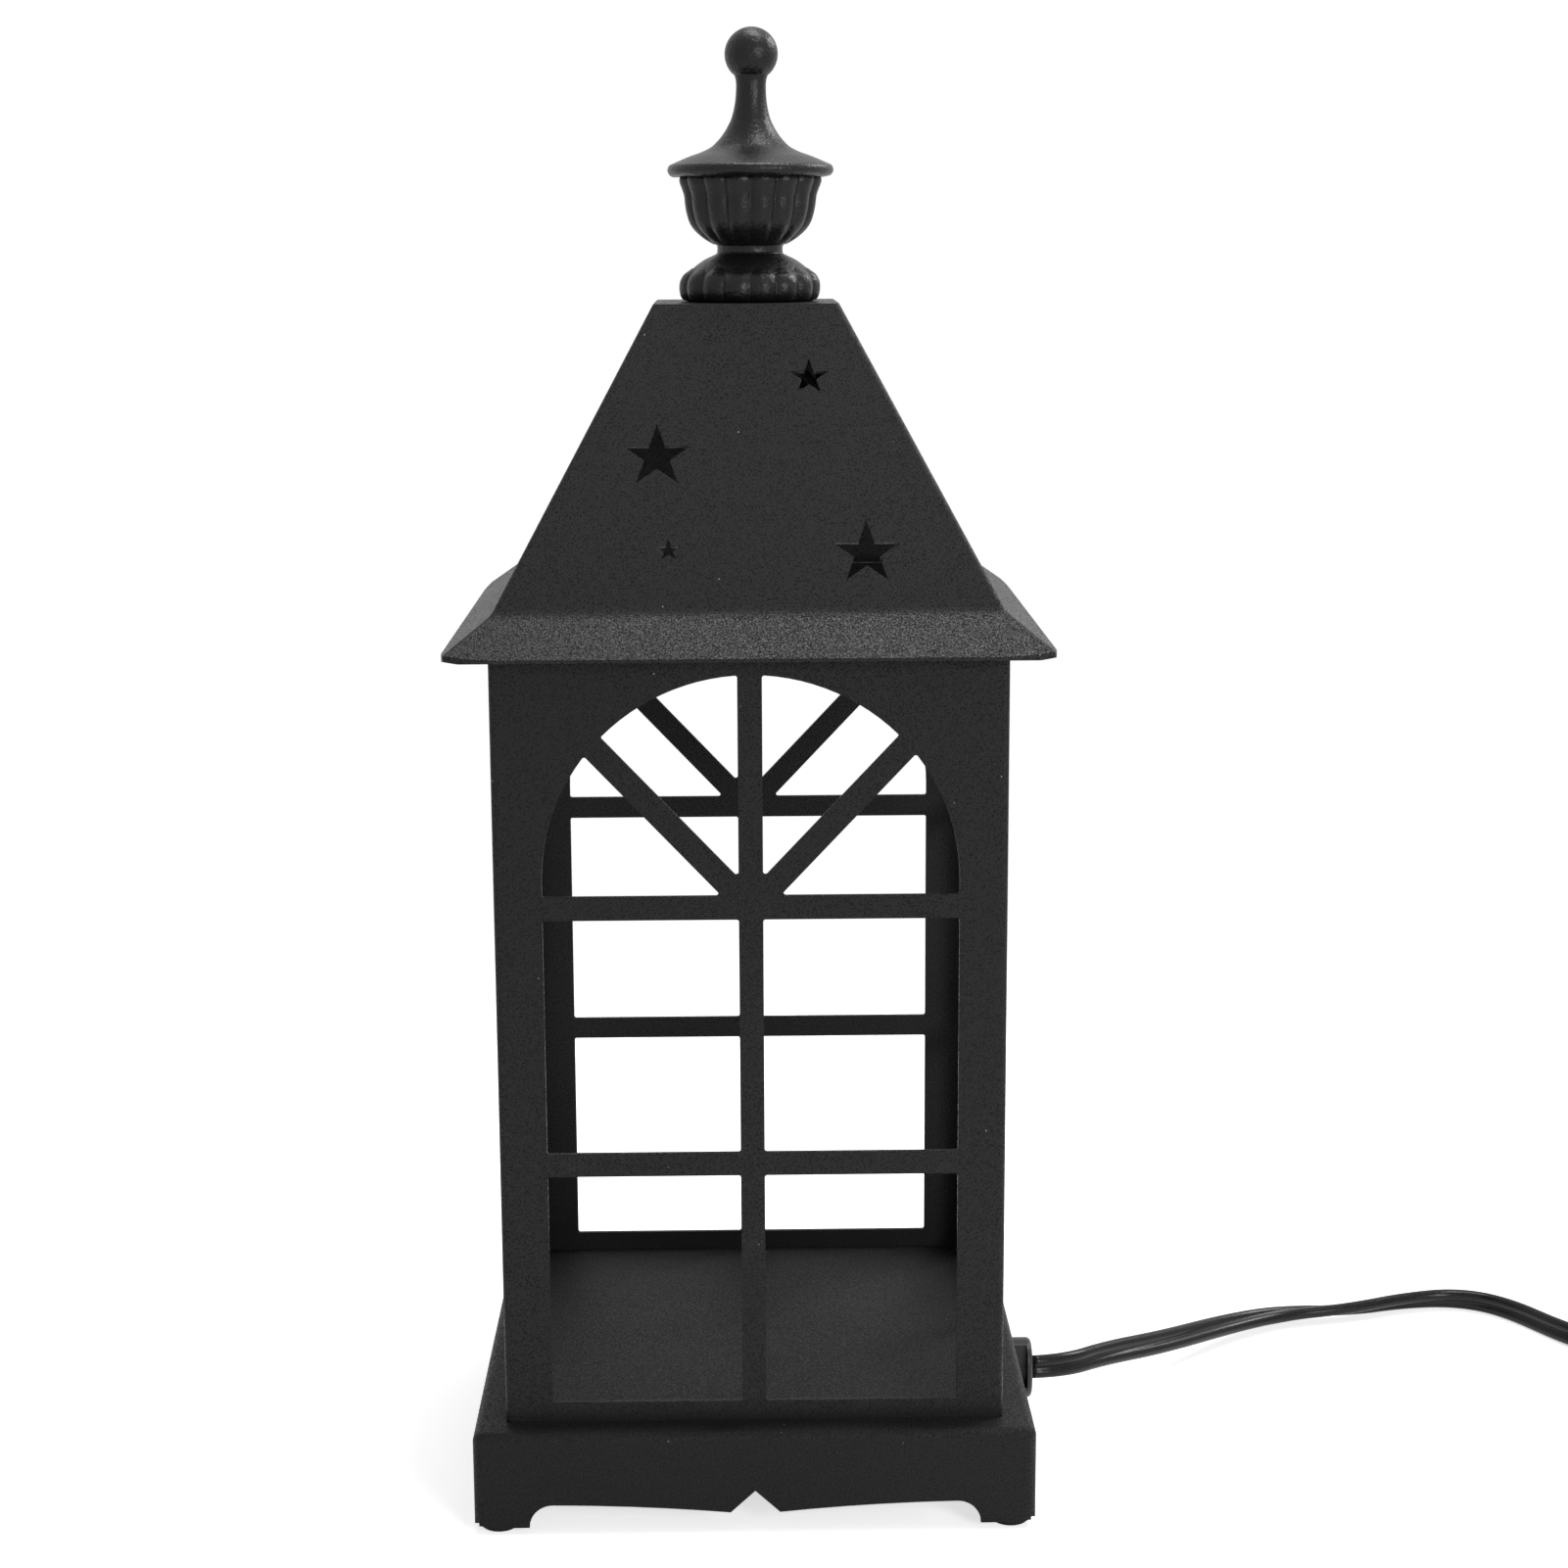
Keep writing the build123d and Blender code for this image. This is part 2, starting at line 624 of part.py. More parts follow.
with BuildPart() as front_slope:
    add(roof_shell.part)
    tip = EAVE_HALF - EAVE_TIP_IN
    straight = EAVE_HALF - EAVE_CURVE
    with BuildSketch(Plane.XY.offset(EAVE_Z - 4 * OVERRUN)):
        with BuildLine():
            run = Line((0, -EAVE_HALF), (straight, -EAVE_HALF))
            bow = TangentArc(run @ 1, (tip, -tip), tangent=run % 1)
            Polyline(bow @ 1, (0, 0), (0, -EAVE_HALF))
        make_face()
        mirror(about=Plane.YZ)
    extrude(amount=2 * (ROOF_TOP - EAVE_Z), mode=Mode.INTERSECT)
    with BuildSketch(FACE_PLANE.offset(-OVERRUN)):
        for across, down, radius in STARS:
            with Locations((across, down)):
                Polygon(*star(radius), align=None)
    extrude(amount=SHEET + 2 * OVERRUN, mode=Mode.SUBTRACT)

for label, turn in (("roof_front", 0), ("roof_right", 90), ("roof_rear", 180), ("roof_left", 270)):
    keep(front_slope.part.rotate(Axis.Z, turn), label)

with BuildPart() as roof_top_plate:
    add(ROOF_INSIDE)
    with Locations((0, 0, ROOF_TOP)):
        Box(BODY_WIDE, BODY_WIDE, SHEET, align=FROM_HIGH, mode=Mode.INTERSECT)
    with Locations((0, 0, ROOF_TOP)):
        Cylinder(ROD_RADIUS + PLAY, 4 * SHEET, mode=Mode.SUBTRACT)
keep(roof_top_plate.part, "roof_top_plate")

with BuildPart() as roof_tabs:
    with Locations((0, 0, WALL_TOP - ROOF_TAB_DROP)):
        with GridLocations(2 * WALL_IN - SHEET, 2 * SCREW_AT, 2, 2):
            Box(SHEET, ROOF_TAB_WIDE, ROOF_TAB_DROP + ROOF_TAB_RISE, align=FROM_LOW)
    add(ROOF_INSIDE, mode=Mode.INTERSECT)
    with Locations((0, SCREW_AT, SCREW_Z), (0, -SCREW_AT, SCREW_Z)):
        Cylinder(ROOF_SCREW + THREAD_PLAY, BODY_WIDE, rotation=(0, 90, 0), mode=Mode.SUBTRACT)
keep(roof_tabs.part, "roof_tabs")

with BuildPart() as roof_screws:
    for out in (1, -1):
        with Locations((out * BODY_HALF, SCREW_AT, SCREW_Z), (out * BODY_HALF, -SCREW_AT, SCREW_Z)):
            Cylinder(HEAD_RADIUS, HEAD_TALL, rotation=(0, 90 * out, 0), align=FROM_LOW)
            Cylinder(ROOF_SCREW, ROOF_SCREW_LONG, rotation=(0, 90 * out, 0), align=FROM_HIGH)
keep(roof_screws.part, "roof_screws")

# ---------------------------------------------------------------- finial

ROD_HOLE = ROD_RADIUS + THREAD_PLAY
CUP_FOOT = ROOF_TOP + FINIAL_BASE_TALL
CAP_FOOT = CUP_FOOT + FINIAL_CUP_TALL
BALL_Z = ROOF_TOP + BALL_RISE


def above(height, profile):
    """A profile's points, lifted to a height."""
    return [(radius, height + rise) for radius, rise in profile]


with BuildPart() as finial_base:
    with BuildSketch(Plane.XZ):
        with BuildLine():
            rim = Spline(*above(ROOF_TOP, BASE_RING))
            waist = Spline(rim @ 1, *above(ROOF_TOP, BASE_SWEEP))
            Polyline(waist @ 1, (ROD_HOLE, CUP_FOOT), (ROD_HOLE, ROOF_TOP), rim @ 0)
        make_face()
    revolve(axis=Axis.Z)
keep(finial_base.part, "finial_base")

with BuildPart() as finial_cup:
    with BuildSketch(Plane.XZ):
        with BuildLine():
            bowl = Spline(*above(CUP_FOOT, CUP_BOWL))
            flare = Spline(bowl @ 1, *above(CUP_FOOT, CUP_FLARE))
            Polyline(flare @ 1, (ROD_HOLE, CAP_FOOT), (ROD_HOLE, CUP_FOOT), bowl @ 0)
        make_face()
    revolve(axis=Axis.Z)
keep(finial_cup.part, "finial_cup")

with BuildPart() as finial_cap:
    rim_top = CAP_FOOT + RIM_TALL
    rim_in = RIM_RADIUS - RIM_TALL / 2
    with BuildSketch(Plane.XZ):
        with BuildLine():
            rim = ThreePointArc(
                (rim_in, CAP_FOOT),
                (RIM_RADIUS, CAP_FOOT + RIM_TALL / 2),
                (rim_in, rim_top),
            )
            cone = Spline(rim @ 1, *above(CAP_FOOT, CAP_SWEEP), (NECK_RADIUS, BALL_Z - BALL_RADIUS))
            stalk = Line(cone @ 1, (NECK_RADIUS, BALL_Z))
            bore_top = ROOF_TOP + ROD_ABOVE + PLAY
            Polyline(
                stalk @ 1,
                (0, BALL_Z),
                (0, bore_top),
                (ROD_HOLE, bore_top),
                (ROD_HOLE, CAP_FOOT),
                rim @ 0,
            )
        make_face()
    revolve(axis=Axis.Z)
    with Locations((0, 0, BALL_Z)):
        Sphere(BALL_RADIUS)
keep(finial_cap.part, "finial_cap")

with BuildPart() as finial_rod:
    with Locations((0, 0, ROOF_TOP - ROD_BELOW)):
        Cylinder(ROD_RADIUS, ROD_BELOW + ROD_ABOVE, align=FROM_LOW)
keep(finial_rod.part, "finial_rod")

BRACKET_UNDER = ROOF_UNDER - BRACKET_SHEET

with BuildPart() as rod_washer:
    with Locations((0, 0, BRACKET_UNDER)):
        Cylinder(WASHER_RADIUS, WASHER_TALL, align=FROM_HIGH)
        Cylinder(ROD_RADIUS + PLAY, 4 * WASHER_TALL, mode=Mode.SUBTRACT)
keep(rod_washer.part, "rod_washer")

with BuildPart() as rod_nut:
    with BuildSketch(Plane.XY.offset(BRACKET_UNDER - WASHER_TALL)):
        RegularPolygon(NUT_FLATS / 2, 6, major_radius=False)
        Circle(ROD_HOLE, mode=Mode.SUBTRACT)
    extrude(amount=-NUT_TALL)
keep(rod_nut.part, "rod_nut")

# ---------------------------------------------------------------- lamp

with BuildPart() as lamp_bracket:
    arm = BRACKET_ARM + BRACKET_SHEET
    with BuildSketch(Plane.XZ):
        with BuildLine():
            Polyline(
                (-BRACKET_HALF, ROOF_UNDER),
                (arm, ROOF_UNDER),
                (arm, HOLDER_TOP),
                (-BRACKET_HALF, HOLDER_TOP),
                (-BRACKET_HALF, HOLDER_TOP + BRACKET_SHEET),
                (BRACKET_ARM, HOLDER_TOP + BRACKET_SHEET),
                (BRACKET_ARM, BRACKET_UNDER),
                (-BRACKET_HALF, BRACKET_UNDER),
                close=True,
            )
        make_face()
    extrude(amount=BRACKET_WIDE / 2, both=True)
    with Locations((0, 0, ROOF_UNDER)):
        Cylinder(ROD_RADIUS + PLAY, 4 * BRACKET_SHEET, mode=Mode.SUBTRACT)
    with Locations((HOLDER_SCREW_AT, 0, HOLDER_TOP), (-HOLDER_SCREW_AT, 0, HOLDER_TOP)):
        Cylinder(HOLDER_SCREW + PLAY, 4 * BRACKET_SHEET, mode=Mode.SUBTRACT)
keep(lamp_bracket.part, "lamp_bracket")


def pin_slot(half_width, entry_radius):
    """Two curved slots for the bulb's pins, each with a round entry where the bulb goes in."""
    for half_turn in (0, 180):
        unlocked = radians(half_turn - LOCK_TURN)
        with Locations((PIN_CIRCLE * cos(unlocked), PIN_CIRCLE * sin(unlocked))):
            Circle(entry_radius)
        for step in range(5):
            angle = radians(half_turn - LOCK_TURN * step / 4)
            with Locations((PIN_CIRCLE * cos(angle), PIN_CIRCLE * sin(angle))):
                Circle(half_width)


with BuildPart() as lampholder:
    with BuildSketch(Plane.XY.offset(HOLDER_UNDER)):
        Circle(HOLDER_RADIUS)
    extrude(amount=HOLDER_TALL)
    fillet(lampholder.edges().group_by(Axis.Z)[0], HOLDER_EDGE)
    with BuildSketch(Plane.XY.offset(HOLDER_UNDER)):
        pin_slot(PIN_NECK + PIN_PLAY, PIN_HEAD + PIN_PLAY)
    extrude(amount=FACE_PLATE, mode=Mode.SUBTRACT)
    with BuildSketch(Plane.XY.offset(HOLDER_UNDER + FACE_PLATE)):
        pin_slot(PIN_HEAD + PIN_PLAY, PIN_HEAD + PIN_PLAY)
    extrude(amount=PIN_ROOM, mode=Mode.SUBTRACT)
    with Locations((HOLDER_SCREW_AT, 0, HOLDER_TOP), (-HOLDER_SCREW_AT, 0, HOLDER_TOP)):
        Cylinder(
            HOLDER_SCREW + THREAD_PLAY,
            HOLDER_SCREW_LONG,
            align=FROM_HIGH,
            mode=Mode.SUBTRACT,
        )
keep(lampholder.part, "lampholder")

with BuildPart() as lampholder_screws:
    seat = HOLDER_TOP + BRACKET_SHEET
    with Locations((HOLDER_SCREW_AT, 0, seat), (-HOLDER_SCREW_AT, 0, seat)):
        Cylinder(HEAD_RADIUS, HEAD_TALL, align=FROM_LOW)
        Cylinder(HOLDER_SCREW, HOLDER_SCREW_LONG, align=FROM_HIGH)
keep(lampholder_screws.part, "lampholder_screws")

NECK_UNDER = BULB_TOP - BULB_NECK_TALL
RIM_Z = BULB_UNDER + BULB_RIM


def reflector_curve(inset):
    """Bulb's outline from neck to rim, as a line in an upright section."""
    return Spline(
        (BULB_NECK - inset, NECK_UNDER),
        (BULB_RADIUS * 0.78 - inset, (NECK_UNDER + RIM_Z) / 2),
        (BULB_RADIUS - inset, RIM_Z),
    )


with BuildPart() as bulb_base:
    with Locations((0, 0, NECK_UNDER)):
        Cylinder(BULB_NECK, BULB_NECK_TALL, align=FROM_LOW)
    fillet(bulb_base.edges().group_by(Axis.Z)[-1], HOLDER_EDGE)
keep(bulb_base.part, "bulb_base")

with BuildPart() as bulb_pins:
    with Locations((PIN_CIRCLE, 0, BULB_TOP), (-PIN_CIRCLE, 0, BULB_TOP)):
        Cylinder(PIN_NECK, FACE_PLATE + 2 * PIN_PLAY, align=FROM_LOW)
    head_z = BULB_TOP + FACE_PLATE + 2 * PIN_PLAY
    with Locations((PIN_CIRCLE, 0, head_z), (-PIN_CIRCLE, 0, head_z)):
        Cylinder(PIN_HEAD, PIN_HEAD_TALL, align=FROM_LOW)
keep(bulb_pins.part, "bulb_pins")

with BuildPart() as bulb_reflector:
    with BuildSketch(Plane.XZ):
        with BuildLine():
            outer = reflector_curve(0)
            inner = reflector_curve(BULB_WALL)
            Line(outer @ 0, inner @ 0)
            Polyline(
                outer @ 1,
                (BULB_RADIUS, BULB_UNDER),
                (BULB_RADIUS - BULB_WALL, BULB_UNDER),
                inner @ 1,
            )
        make_face()
    revolve(axis=Axis.Z)
keep(bulb_reflector.part, "bulb_reflector")

with BuildPart() as bulb_front_glass:
    with Locations((0, 0, BULB_UNDER + GLASS_INSET)):
        Cylinder(BULB_RADIUS - BULB_WALL, GLASS_TALL, align=FROM_LOW)
keep(bulb_front_glass.part, "bulb_front_glass")

with BuildPart() as bulb_capsule:
    with Locations((0, 0, NECK_UNDER)):
        Cylinder(CAPSULE_RADIUS, CAPSULE_TALL, align=FROM_HIGH)
    fillet(bulb_capsule.edges().group_by(Axis.Z)[0], CAPSULE_RADIUS * 0.6)
keep(bulb_capsule.part, "bulb_capsule")

# ---------------------------------------------------------------- wiring


def arc_radii(points):
    """Largest arc that each corner's two runs allow."""
    spots = [Vector(*point) for point in points]
    radii = []
    for before, here, after in zip(spots, spots[1:], spots[2:]):
        turn = (here - before).get_angle(after - here)
        shorter = min((here - before).length, (after - here).length)
        radii.append(ARC_SHARE * shorter / tan(radians(turn / 2)))
    return radii


def tube(points, radius):
    """Round tube along straight runs joined by tangent arcs."""
    with BuildPart() as run:
        with BuildLine() as route:
            FilletPolyline(*points, radius=arc_radii(points))
        with BuildSketch(Plane(origin=route.line @ 0, z_dir=route.line % 0)):
            Circle(radius)
        sweep(path=route.line)
    return run.part


with BuildPart() as wiring_cover:
    with BuildSketch(Plane.XY.offset(COVER_UNDER)) as cover_plan:
        with Locations((COVER_LEFT, COVER_REAR)):
            Rectangle(
                COVER_EDGE - COVER_LEFT,
                COVER_REAR + COVER_EDGE,
                align=(Align.MIN, Align.MAX),
            )
    extrude(amount=BASE_UNDER - COVER_UNDER)
    with BuildSketch(Plane.XY.offset(COVER_UNDER + COVER_SHEET)):
        with Locations((COVER_LEFT + COVER_SHEET, COVER_REAR - COVER_SHEET)):
            Rectangle(
                COVER_EDGE - COVER_LEFT - 2 * COVER_SHEET,
                COVER_REAR + COVER_EDGE - 2 * COVER_SHEET,
                align=(Align.MIN, Align.MAX),
            )
    extrude(amount=BASE_TALL, mode=Mode.SUBTRACT)
    with Locations((COVER_EDGE, 0, COVER_UNDER)):
        Box(
            2 * (BUSH_INSIDE + SHEET),
            BUSH_HEAD_WIDE,
            4 * BASE_TALL,
            mode=Mode.SUBTRACT,
        )
    with Locations(*[(x, y, COVER_UNDER) for x, y in STUDS]):
        Cylinder(STUD_RADIUS + PLAY, 4 * COVER_SHEET, mode=Mode.SUBTRACT)
keep(wiring_cover.part, "wiring_cover")

with BuildPart() as cover_studs:
    with Locations(*[(x, y, BASE_UNDER) for x, y in STUDS]):
        Cylinder(STUD_RADIUS, BASE_UNDER - COVER_UNDER + STUD_PROUD, align=FROM_HIGH)
keep(cover_studs.part, "cover_studs")

with BuildPart() as cover_nuts:
    with BuildSketch(Plane.XY.offset(COVER_UNDER)):
        with Locations(*STUDS):
            RegularPolygon(STUD_NUT_FLATS / 2, 6, major_radius=False)
            Circle(STUD_RADIUS + THREAD_PLAY, mode=Mode.SUBTRACT)
    extrude(amount=-STUD_NUT_TALL)
keep(cover_nuts.part, "cover_nuts")

BUSH_SIDE = Plane(origin=(0, 0, CORD_HEIGHT), x_dir=(0, 1, 0), z_dir=(1, 0, 0))
WEDGE_LOW = BUSH_HEAD_TALL / 2


def wedge_outline(play):
    """The clamping wedge's section, below the lead."""
    with Locations((0, -WEDGE_TOP + play)):
        Rectangle(
            WEDGE_WIDE + 2 * play,
            WEDGE_LOW - WEDGE_TOP + OVERRUN,
            align=(Align.CENTER, Align.MAX),
        )


with BuildPart() as bush_head:
    with BuildSketch(BUSH_SIDE.offset(BASE_HALF)):
        RectangleRounded(BUSH_HEAD_WIDE, BUSH_HEAD_TALL, BUSH_HEAD_ROUND)
    extrude(amount=BUSH_PROUD)
    fillet(bush_head.faces().sort_by(Axis.X)[-1].edges(), BUSH_HEAD_EDGE)

with BuildPart() as strain_relief_body:
    add(bush_head.part)
    with BuildSketch(BUSH_SIDE.offset(BASE_HALF)):
        with Locations((BUSH_HEAD_WIDE / 2, -BUSH_SLOT_DROP), (-BUSH_HEAD_WIDE / 2, -BUSH_SLOT_DROP)):
            Rectangle(2 * BUSH_SLOT_DEEP, BUSH_SLOT_TALL)
        with Locations((BUSH_HEAD_WIDE / 2, BUSH_POCKET_RISE), (-BUSH_HEAD_WIDE / 2, BUSH_POCKET_RISE)):
            Rectangle(2 * BUSH_POCKET_DEEP, BUSH_POCKET_TALL)
    extrude(amount=BUSH_PROUD - BUSH_FLANGE, mode=Mode.SUBTRACT)
    with BuildSketch(BUSH_SIDE.offset(BUSH_END)):
        Circle(BUSH_SHANK)
    extrude(amount=BASE_HALF - BUSH_END)
    with BuildSketch(BUSH_SIDE.offset(BUSH_END)):
        SlotOverall(CORD_WIDE + PLAY, CORD_THICK + PLAY, rotation=90)
        wedge_outline(WEDGE_PLAY)
    extrude(amount=BUSH_FACE - BUSH_END, mode=Mode.SUBTRACT)
keep(strain_relief_body.part, "strain_relief_body")

with BuildPart() as strain_relief_wedge:
    with BuildSketch(BUSH_SIDE.offset(BASE_HALF)):
        wedge_outline(0)
    extrude(amount=BUSH_PROUD - PLAY)
    add(bush_head.part, mode=Mode.INTERSECT)
    with BuildSketch(BUSH_SIDE.offset(BUSH_END)):
        wedge_outline(0)
        Circle(BUSH_SHANK, mode=Mode.INTERSECT)
    extrude(amount=BASE_HALF - BUSH_END)
keep(strain_relief_wedge.part, "strain_relief_wedge")

SPLICE_END = SPLICE_Y - SPLICE_LONG

with BuildPart() as inner_cord_tail:
    with BuildLine() as tail_route:
        FilletPolyline(
            (BUSH_END, 0, CORD_HEIGHT),
            (SPLICE_X, 0, CORD_HEIGHT),
            (SPLICE_X, SPLICE_Y, CORD_HEIGHT),
            radius=TAIL_BEND,
        )
    with BuildSketch(Plane(origin=tail_route.line @ 0, x_dir=(0, 1, 0), z_dir=tail_route.line % 0)):
        SlotOverall(CORD_WIDE, CORD_THICK)
    sweep(path=tail_route.line)
keep(inner_cord_tail.part, "inner_cord_tail")

with BuildPart() as crimp_connectors:
    for aside in (SPLICE_APART, -SPLICE_APART):
        with Locations((SPLICE_X + aside, SPLICE_Y, CORD_HEIGHT)):
            Cylinder(SPLICE_RADIUS, SPLICE_LONG, rotation=(90, 0, 0), align=FROM_LOW)
keep(crimp_connectors.part, "crimp_connectors")


def lead_route(aside):
    """Points of one heat-proof lead, from its crimp connector to the top of the lampholder."""
    start_x = SPLICE_X + aside * SPLICE_APART
    rise_x = CHANNEL_MID + aside * LEAD_APART * 0.8
    rise_y = aside * LEAD_APART * 0.6 - CHANNEL_MID
    bend_x = BRACKET_ARM + LEAD_SWEEP + aside * LEAD_SPREAD / 2
    arm_x = BRACKET_ARM - LEAD_SPREAD + aside * LEAD_SPREAD * 0.75
    return (
        (start_x, SPLICE_END, CORD_HEIGHT),
        (start_x, SPLICE_END - LEAD_STUB, CORD_HEIGHT),
        (rise_x, rise_y, CORD_HEIGHT + LEAD_RISE),
        (rise_x, rise_y - PLAY, WALL_TOP - LEAD_RADIUS),
        (bend_x, -BRACKET_ARM - LEAD_SWEEP, HOLDER_TOP - LEAD_SWEEP),
        (arm_x, -BRACKET_ARM - LEAD_RADIUS, HOLDER_TOP + LEAD_CREST),
        (aside * LEAD_SPREAD, -LEAD_ENTRY, HOLDER_TOP + LEAD_CREST),
        (aside * LEAD_SPREAD, -LEAD_ENTRY, HOLDER_TOP),
    )


with BuildPart() as lamp_leads:
    add(tube(lead_route(1), LEAD_RADIUS))
    add(tube(lead_route(-1), LEAD_RADIUS))
keep(lamp_leads.part, "lamp_leads")

# ---------------------------------------------------------------- lead, switch and plug

for label, points in (("cord_to_switch", TO_SWITCH), ("cord_to_coil", TO_COIL), ("cord_to_plug", TO_PLUG)):
    print(label, "arc radii", [round(radius, 1) for radius in arc_radii(points)])
    keep(tube(points, CORD_RADIUS), label)

with BuildPart() as cord_coil:
    with BuildSketch():
        with Locations(COIL_CENTRE):
            Circle(COIL_RADIUS + COIL_HALF)
            Circle(COIL_RADIUS - COIL_HALF, mode=Mode.SUBTRACT)
    extrude(amount=COIL_TALL)
    fillet(cord_coil.edges().filter_by(GeomType.CIRCLE), COIL_ROUND)
keep(cord_coil.part, "cord_coil")

WHEEL_LOW = SWITCH_SPLIT - WHEEL_TALL / 2
WHEEL_HIGH = SWITCH_SPLIT + WHEEL_TALL / 2
FLOOR_Z = SWITCH_WALL
CEILING_Z = SWITCH_TALL - SWITCH_WALL
SWITCH_POSTS = ((SWITCH_SCREW_AT, 0), (-SWITCH_SCREW_AT, 0))


def switch_outline(inset):
    """Plan of the switch case."""
    RectangleRounded(SWITCH_LONG - 2 * inset, SWITCH_WIDE - 2 * inset, SWITCH_ROUND - inset)


def wheel_gap():
    """Plan of the room that the wheel turns in."""
    with Locations((0, WHEEL_OFFSET)):
        Circle(WHEEL_RADIUS + WHEEL_PLAY)


def cord_holes():
    """Openings for the lead at both ends of the case."""
    with Locations(SWITCH_PLANE.offset(SWITCH_SPLIT)):
        Cylinder(SWITCH_CORD_HOLE, 2 * SWITCH_LONG, rotation=(0, 90, 0), mode=Mode.SUBTRACT)


with BuildPart() as switch_bottom_shell:
    with BuildSketch(SWITCH_PLANE):
        switch_outline(0)
    extrude(amount=SWITCH_SPLIT)
    fillet(switch_bottom_shell.faces().sort_by(Axis.Z)[0].edges(), SWITCH_EDGE)
    with BuildSketch(SWITCH_PLANE.offset(FLOOR_Z)):
        switch_outline(SWITCH_WALL)
    extrude(amount=SWITCH_SPLIT, mode=Mode.SUBTRACT)
    cord_holes()
    with BuildSketch(SWITCH_PLANE.offset(FLOOR_Z)):
        with Locations(*SWITCH_POSTS):
            Circle(SWITCH_POST)
    extrude(amount=SWITCH_SPLIT - FLOOR_Z)
    with BuildSketch(SWITCH_PLANE.offset(WHEEL_LOW - WHEEL_PLAY)):
        wheel_gap()
    extrude(amount=SWITCH_TALL, mode=Mode.SUBTRACT)
    with BuildSketch(SWITCH_PLANE.offset(FLOOR_Z)):
        with Locations((0, WHEEL_OFFSET)):
            Circle(SPINDLE_BOSS)
    extrude(amount=WHEEL_LOW - WHEEL_PLAY - FLOOR_Z)
    with BuildSketch(SWITCH_PLANE.offset(WHEEL_LOW - SPINDLE_PROUD - WHEEL_PLAY)):
        with Locations((0, WHEEL_OFFSET)):
            Circle(SPINDLE_RADIUS + SPINDLE_PLAY)
    extrude(amount=SWITCH_SPLIT, mode=Mode.SUBTRACT)
    with BuildSketch(SWITCH_PLANE):
        with Locations(*SWITCH_POSTS):
            Circle(SWITCH_SCREW + PLAY)
    extrude(amount=SWITCH_SPLIT, mode=Mode.SUBTRACT)
    with BuildSketch(SWITCH_PLANE):
        with Locations(*SWITCH_POSTS):
            Circle(SWITCH_SCREW_HEAD + PLAY)
    extrude(amount=SWITCH_SCREW_TALL + PLAY, mode=Mode.SUBTRACT)
keep(switch_bottom_shell.part, "switch_bottom_shell")

with BuildPart() as switch_top_shell:
    with BuildSketch(SWITCH_PLANE.offset(SWITCH_SPLIT)):
        switch_outline(0)
    extrude(amount=SWITCH_TALL - SWITCH_SPLIT)
    fillet(switch_top_shell.faces().sort_by(Axis.Z)[-1].edges(), SWITCH_EDGE)
    with BuildSketch(SWITCH_PLANE.offset(SWITCH_SPLIT)):
        switch_outline(SWITCH_WALL)
    extrude(amount=CEILING_Z - SWITCH_SPLIT, mode=Mode.SUBTRACT)
    cord_holes()
    with BuildSketch(SWITCH_PLANE.offset(SWITCH_SPLIT)):
        with Locations(*SWITCH_POSTS):
            Circle(SWITCH_POST)
    extrude(amount=CEILING_Z - SWITCH_SPLIT)
    with BuildSketch(SWITCH_PLANE.offset(SWITCH_SPLIT)):
        wheel_gap()
    extrude(amount=WHEEL_HIGH + WHEEL_PLAY - SWITCH_SPLIT, mode=Mode.SUBTRACT)
    with BuildSketch(SWITCH_PLANE.offset(WHEEL_HIGH + WHEEL_PLAY)):
        with Locations((0, WHEEL_OFFSET)):
            Circle(SPINDLE_BOSS)
    extrude(amount=CEILING_Z - WHEEL_HIGH - WHEEL_PLAY)
    with BuildSketch(SWITCH_PLANE.offset(WHEEL_HIGH)):
        with Locations((0, WHEEL_OFFSET)):
            Circle(SPINDLE_RADIUS + SPINDLE_PLAY)
    extrude(amount=SPINDLE_PROUD + WHEEL_PLAY, mode=Mode.SUBTRACT)
    with BuildSketch(SWITCH_PLANE.offset(SWITCH_SPLIT)):
        with Locations(*SWITCH_POSTS):
            Circle(SWITCH_SCREW + THREAD_PLAY)
    extrude(amount=CEILING_Z - SWITCH_SPLIT, mode=Mode.SUBTRACT)
keep(switch_top_shell.part, "switch_top_shell")

with BuildPart() as switch_wheel:
    with BuildSketch(SWITCH_PLANE.offset(WHEEL_LOW)):
        with Locations((0, WHEEL_OFFSET)):
            Circle(WHEEL_RADIUS)
            with PolarLocations(WHEEL_RADIUS, WHEEL_RIBS):
                Circle(RIB_CUT, mode=Mode.SUBTRACT)
    extrude(amount=WHEEL_TALL)
    with BuildSketch(SWITCH_PLANE.offset(WHEEL_LOW - SPINDLE_PROUD)):
        with Locations((0, WHEEL_OFFSET)):
            Circle(SPINDLE_RADIUS)
    extrude(amount=WHEEL_TALL + 2 * SPINDLE_PROUD)
keep(switch_wheel.part, "switch_wheel")

with BuildPart() as switch_contacts:
    contact_x, contact_y = CONTACT_AT
    with BuildSketch(SWITCH_PLANE.offset(FLOOR_Z)):
        with Locations((contact_x, contact_y), (-contact_x, contact_y)):
            Rectangle(CONTACT_LONG, CONTACT_WIDE)
    extrude(amount=CONTACT_SHEET)
    with BuildSketch(SWITCH_PLANE.offset(FLOOR_Z)):
        with Locations((contact_x, contact_y), (-contact_x, contact_y)):
            Rectangle(CONTACT_SHEET, CONTACT_WIDE)
    extrude(amount=CONTACT_TALL)
keep(switch_contacts.part, "switch_contacts")

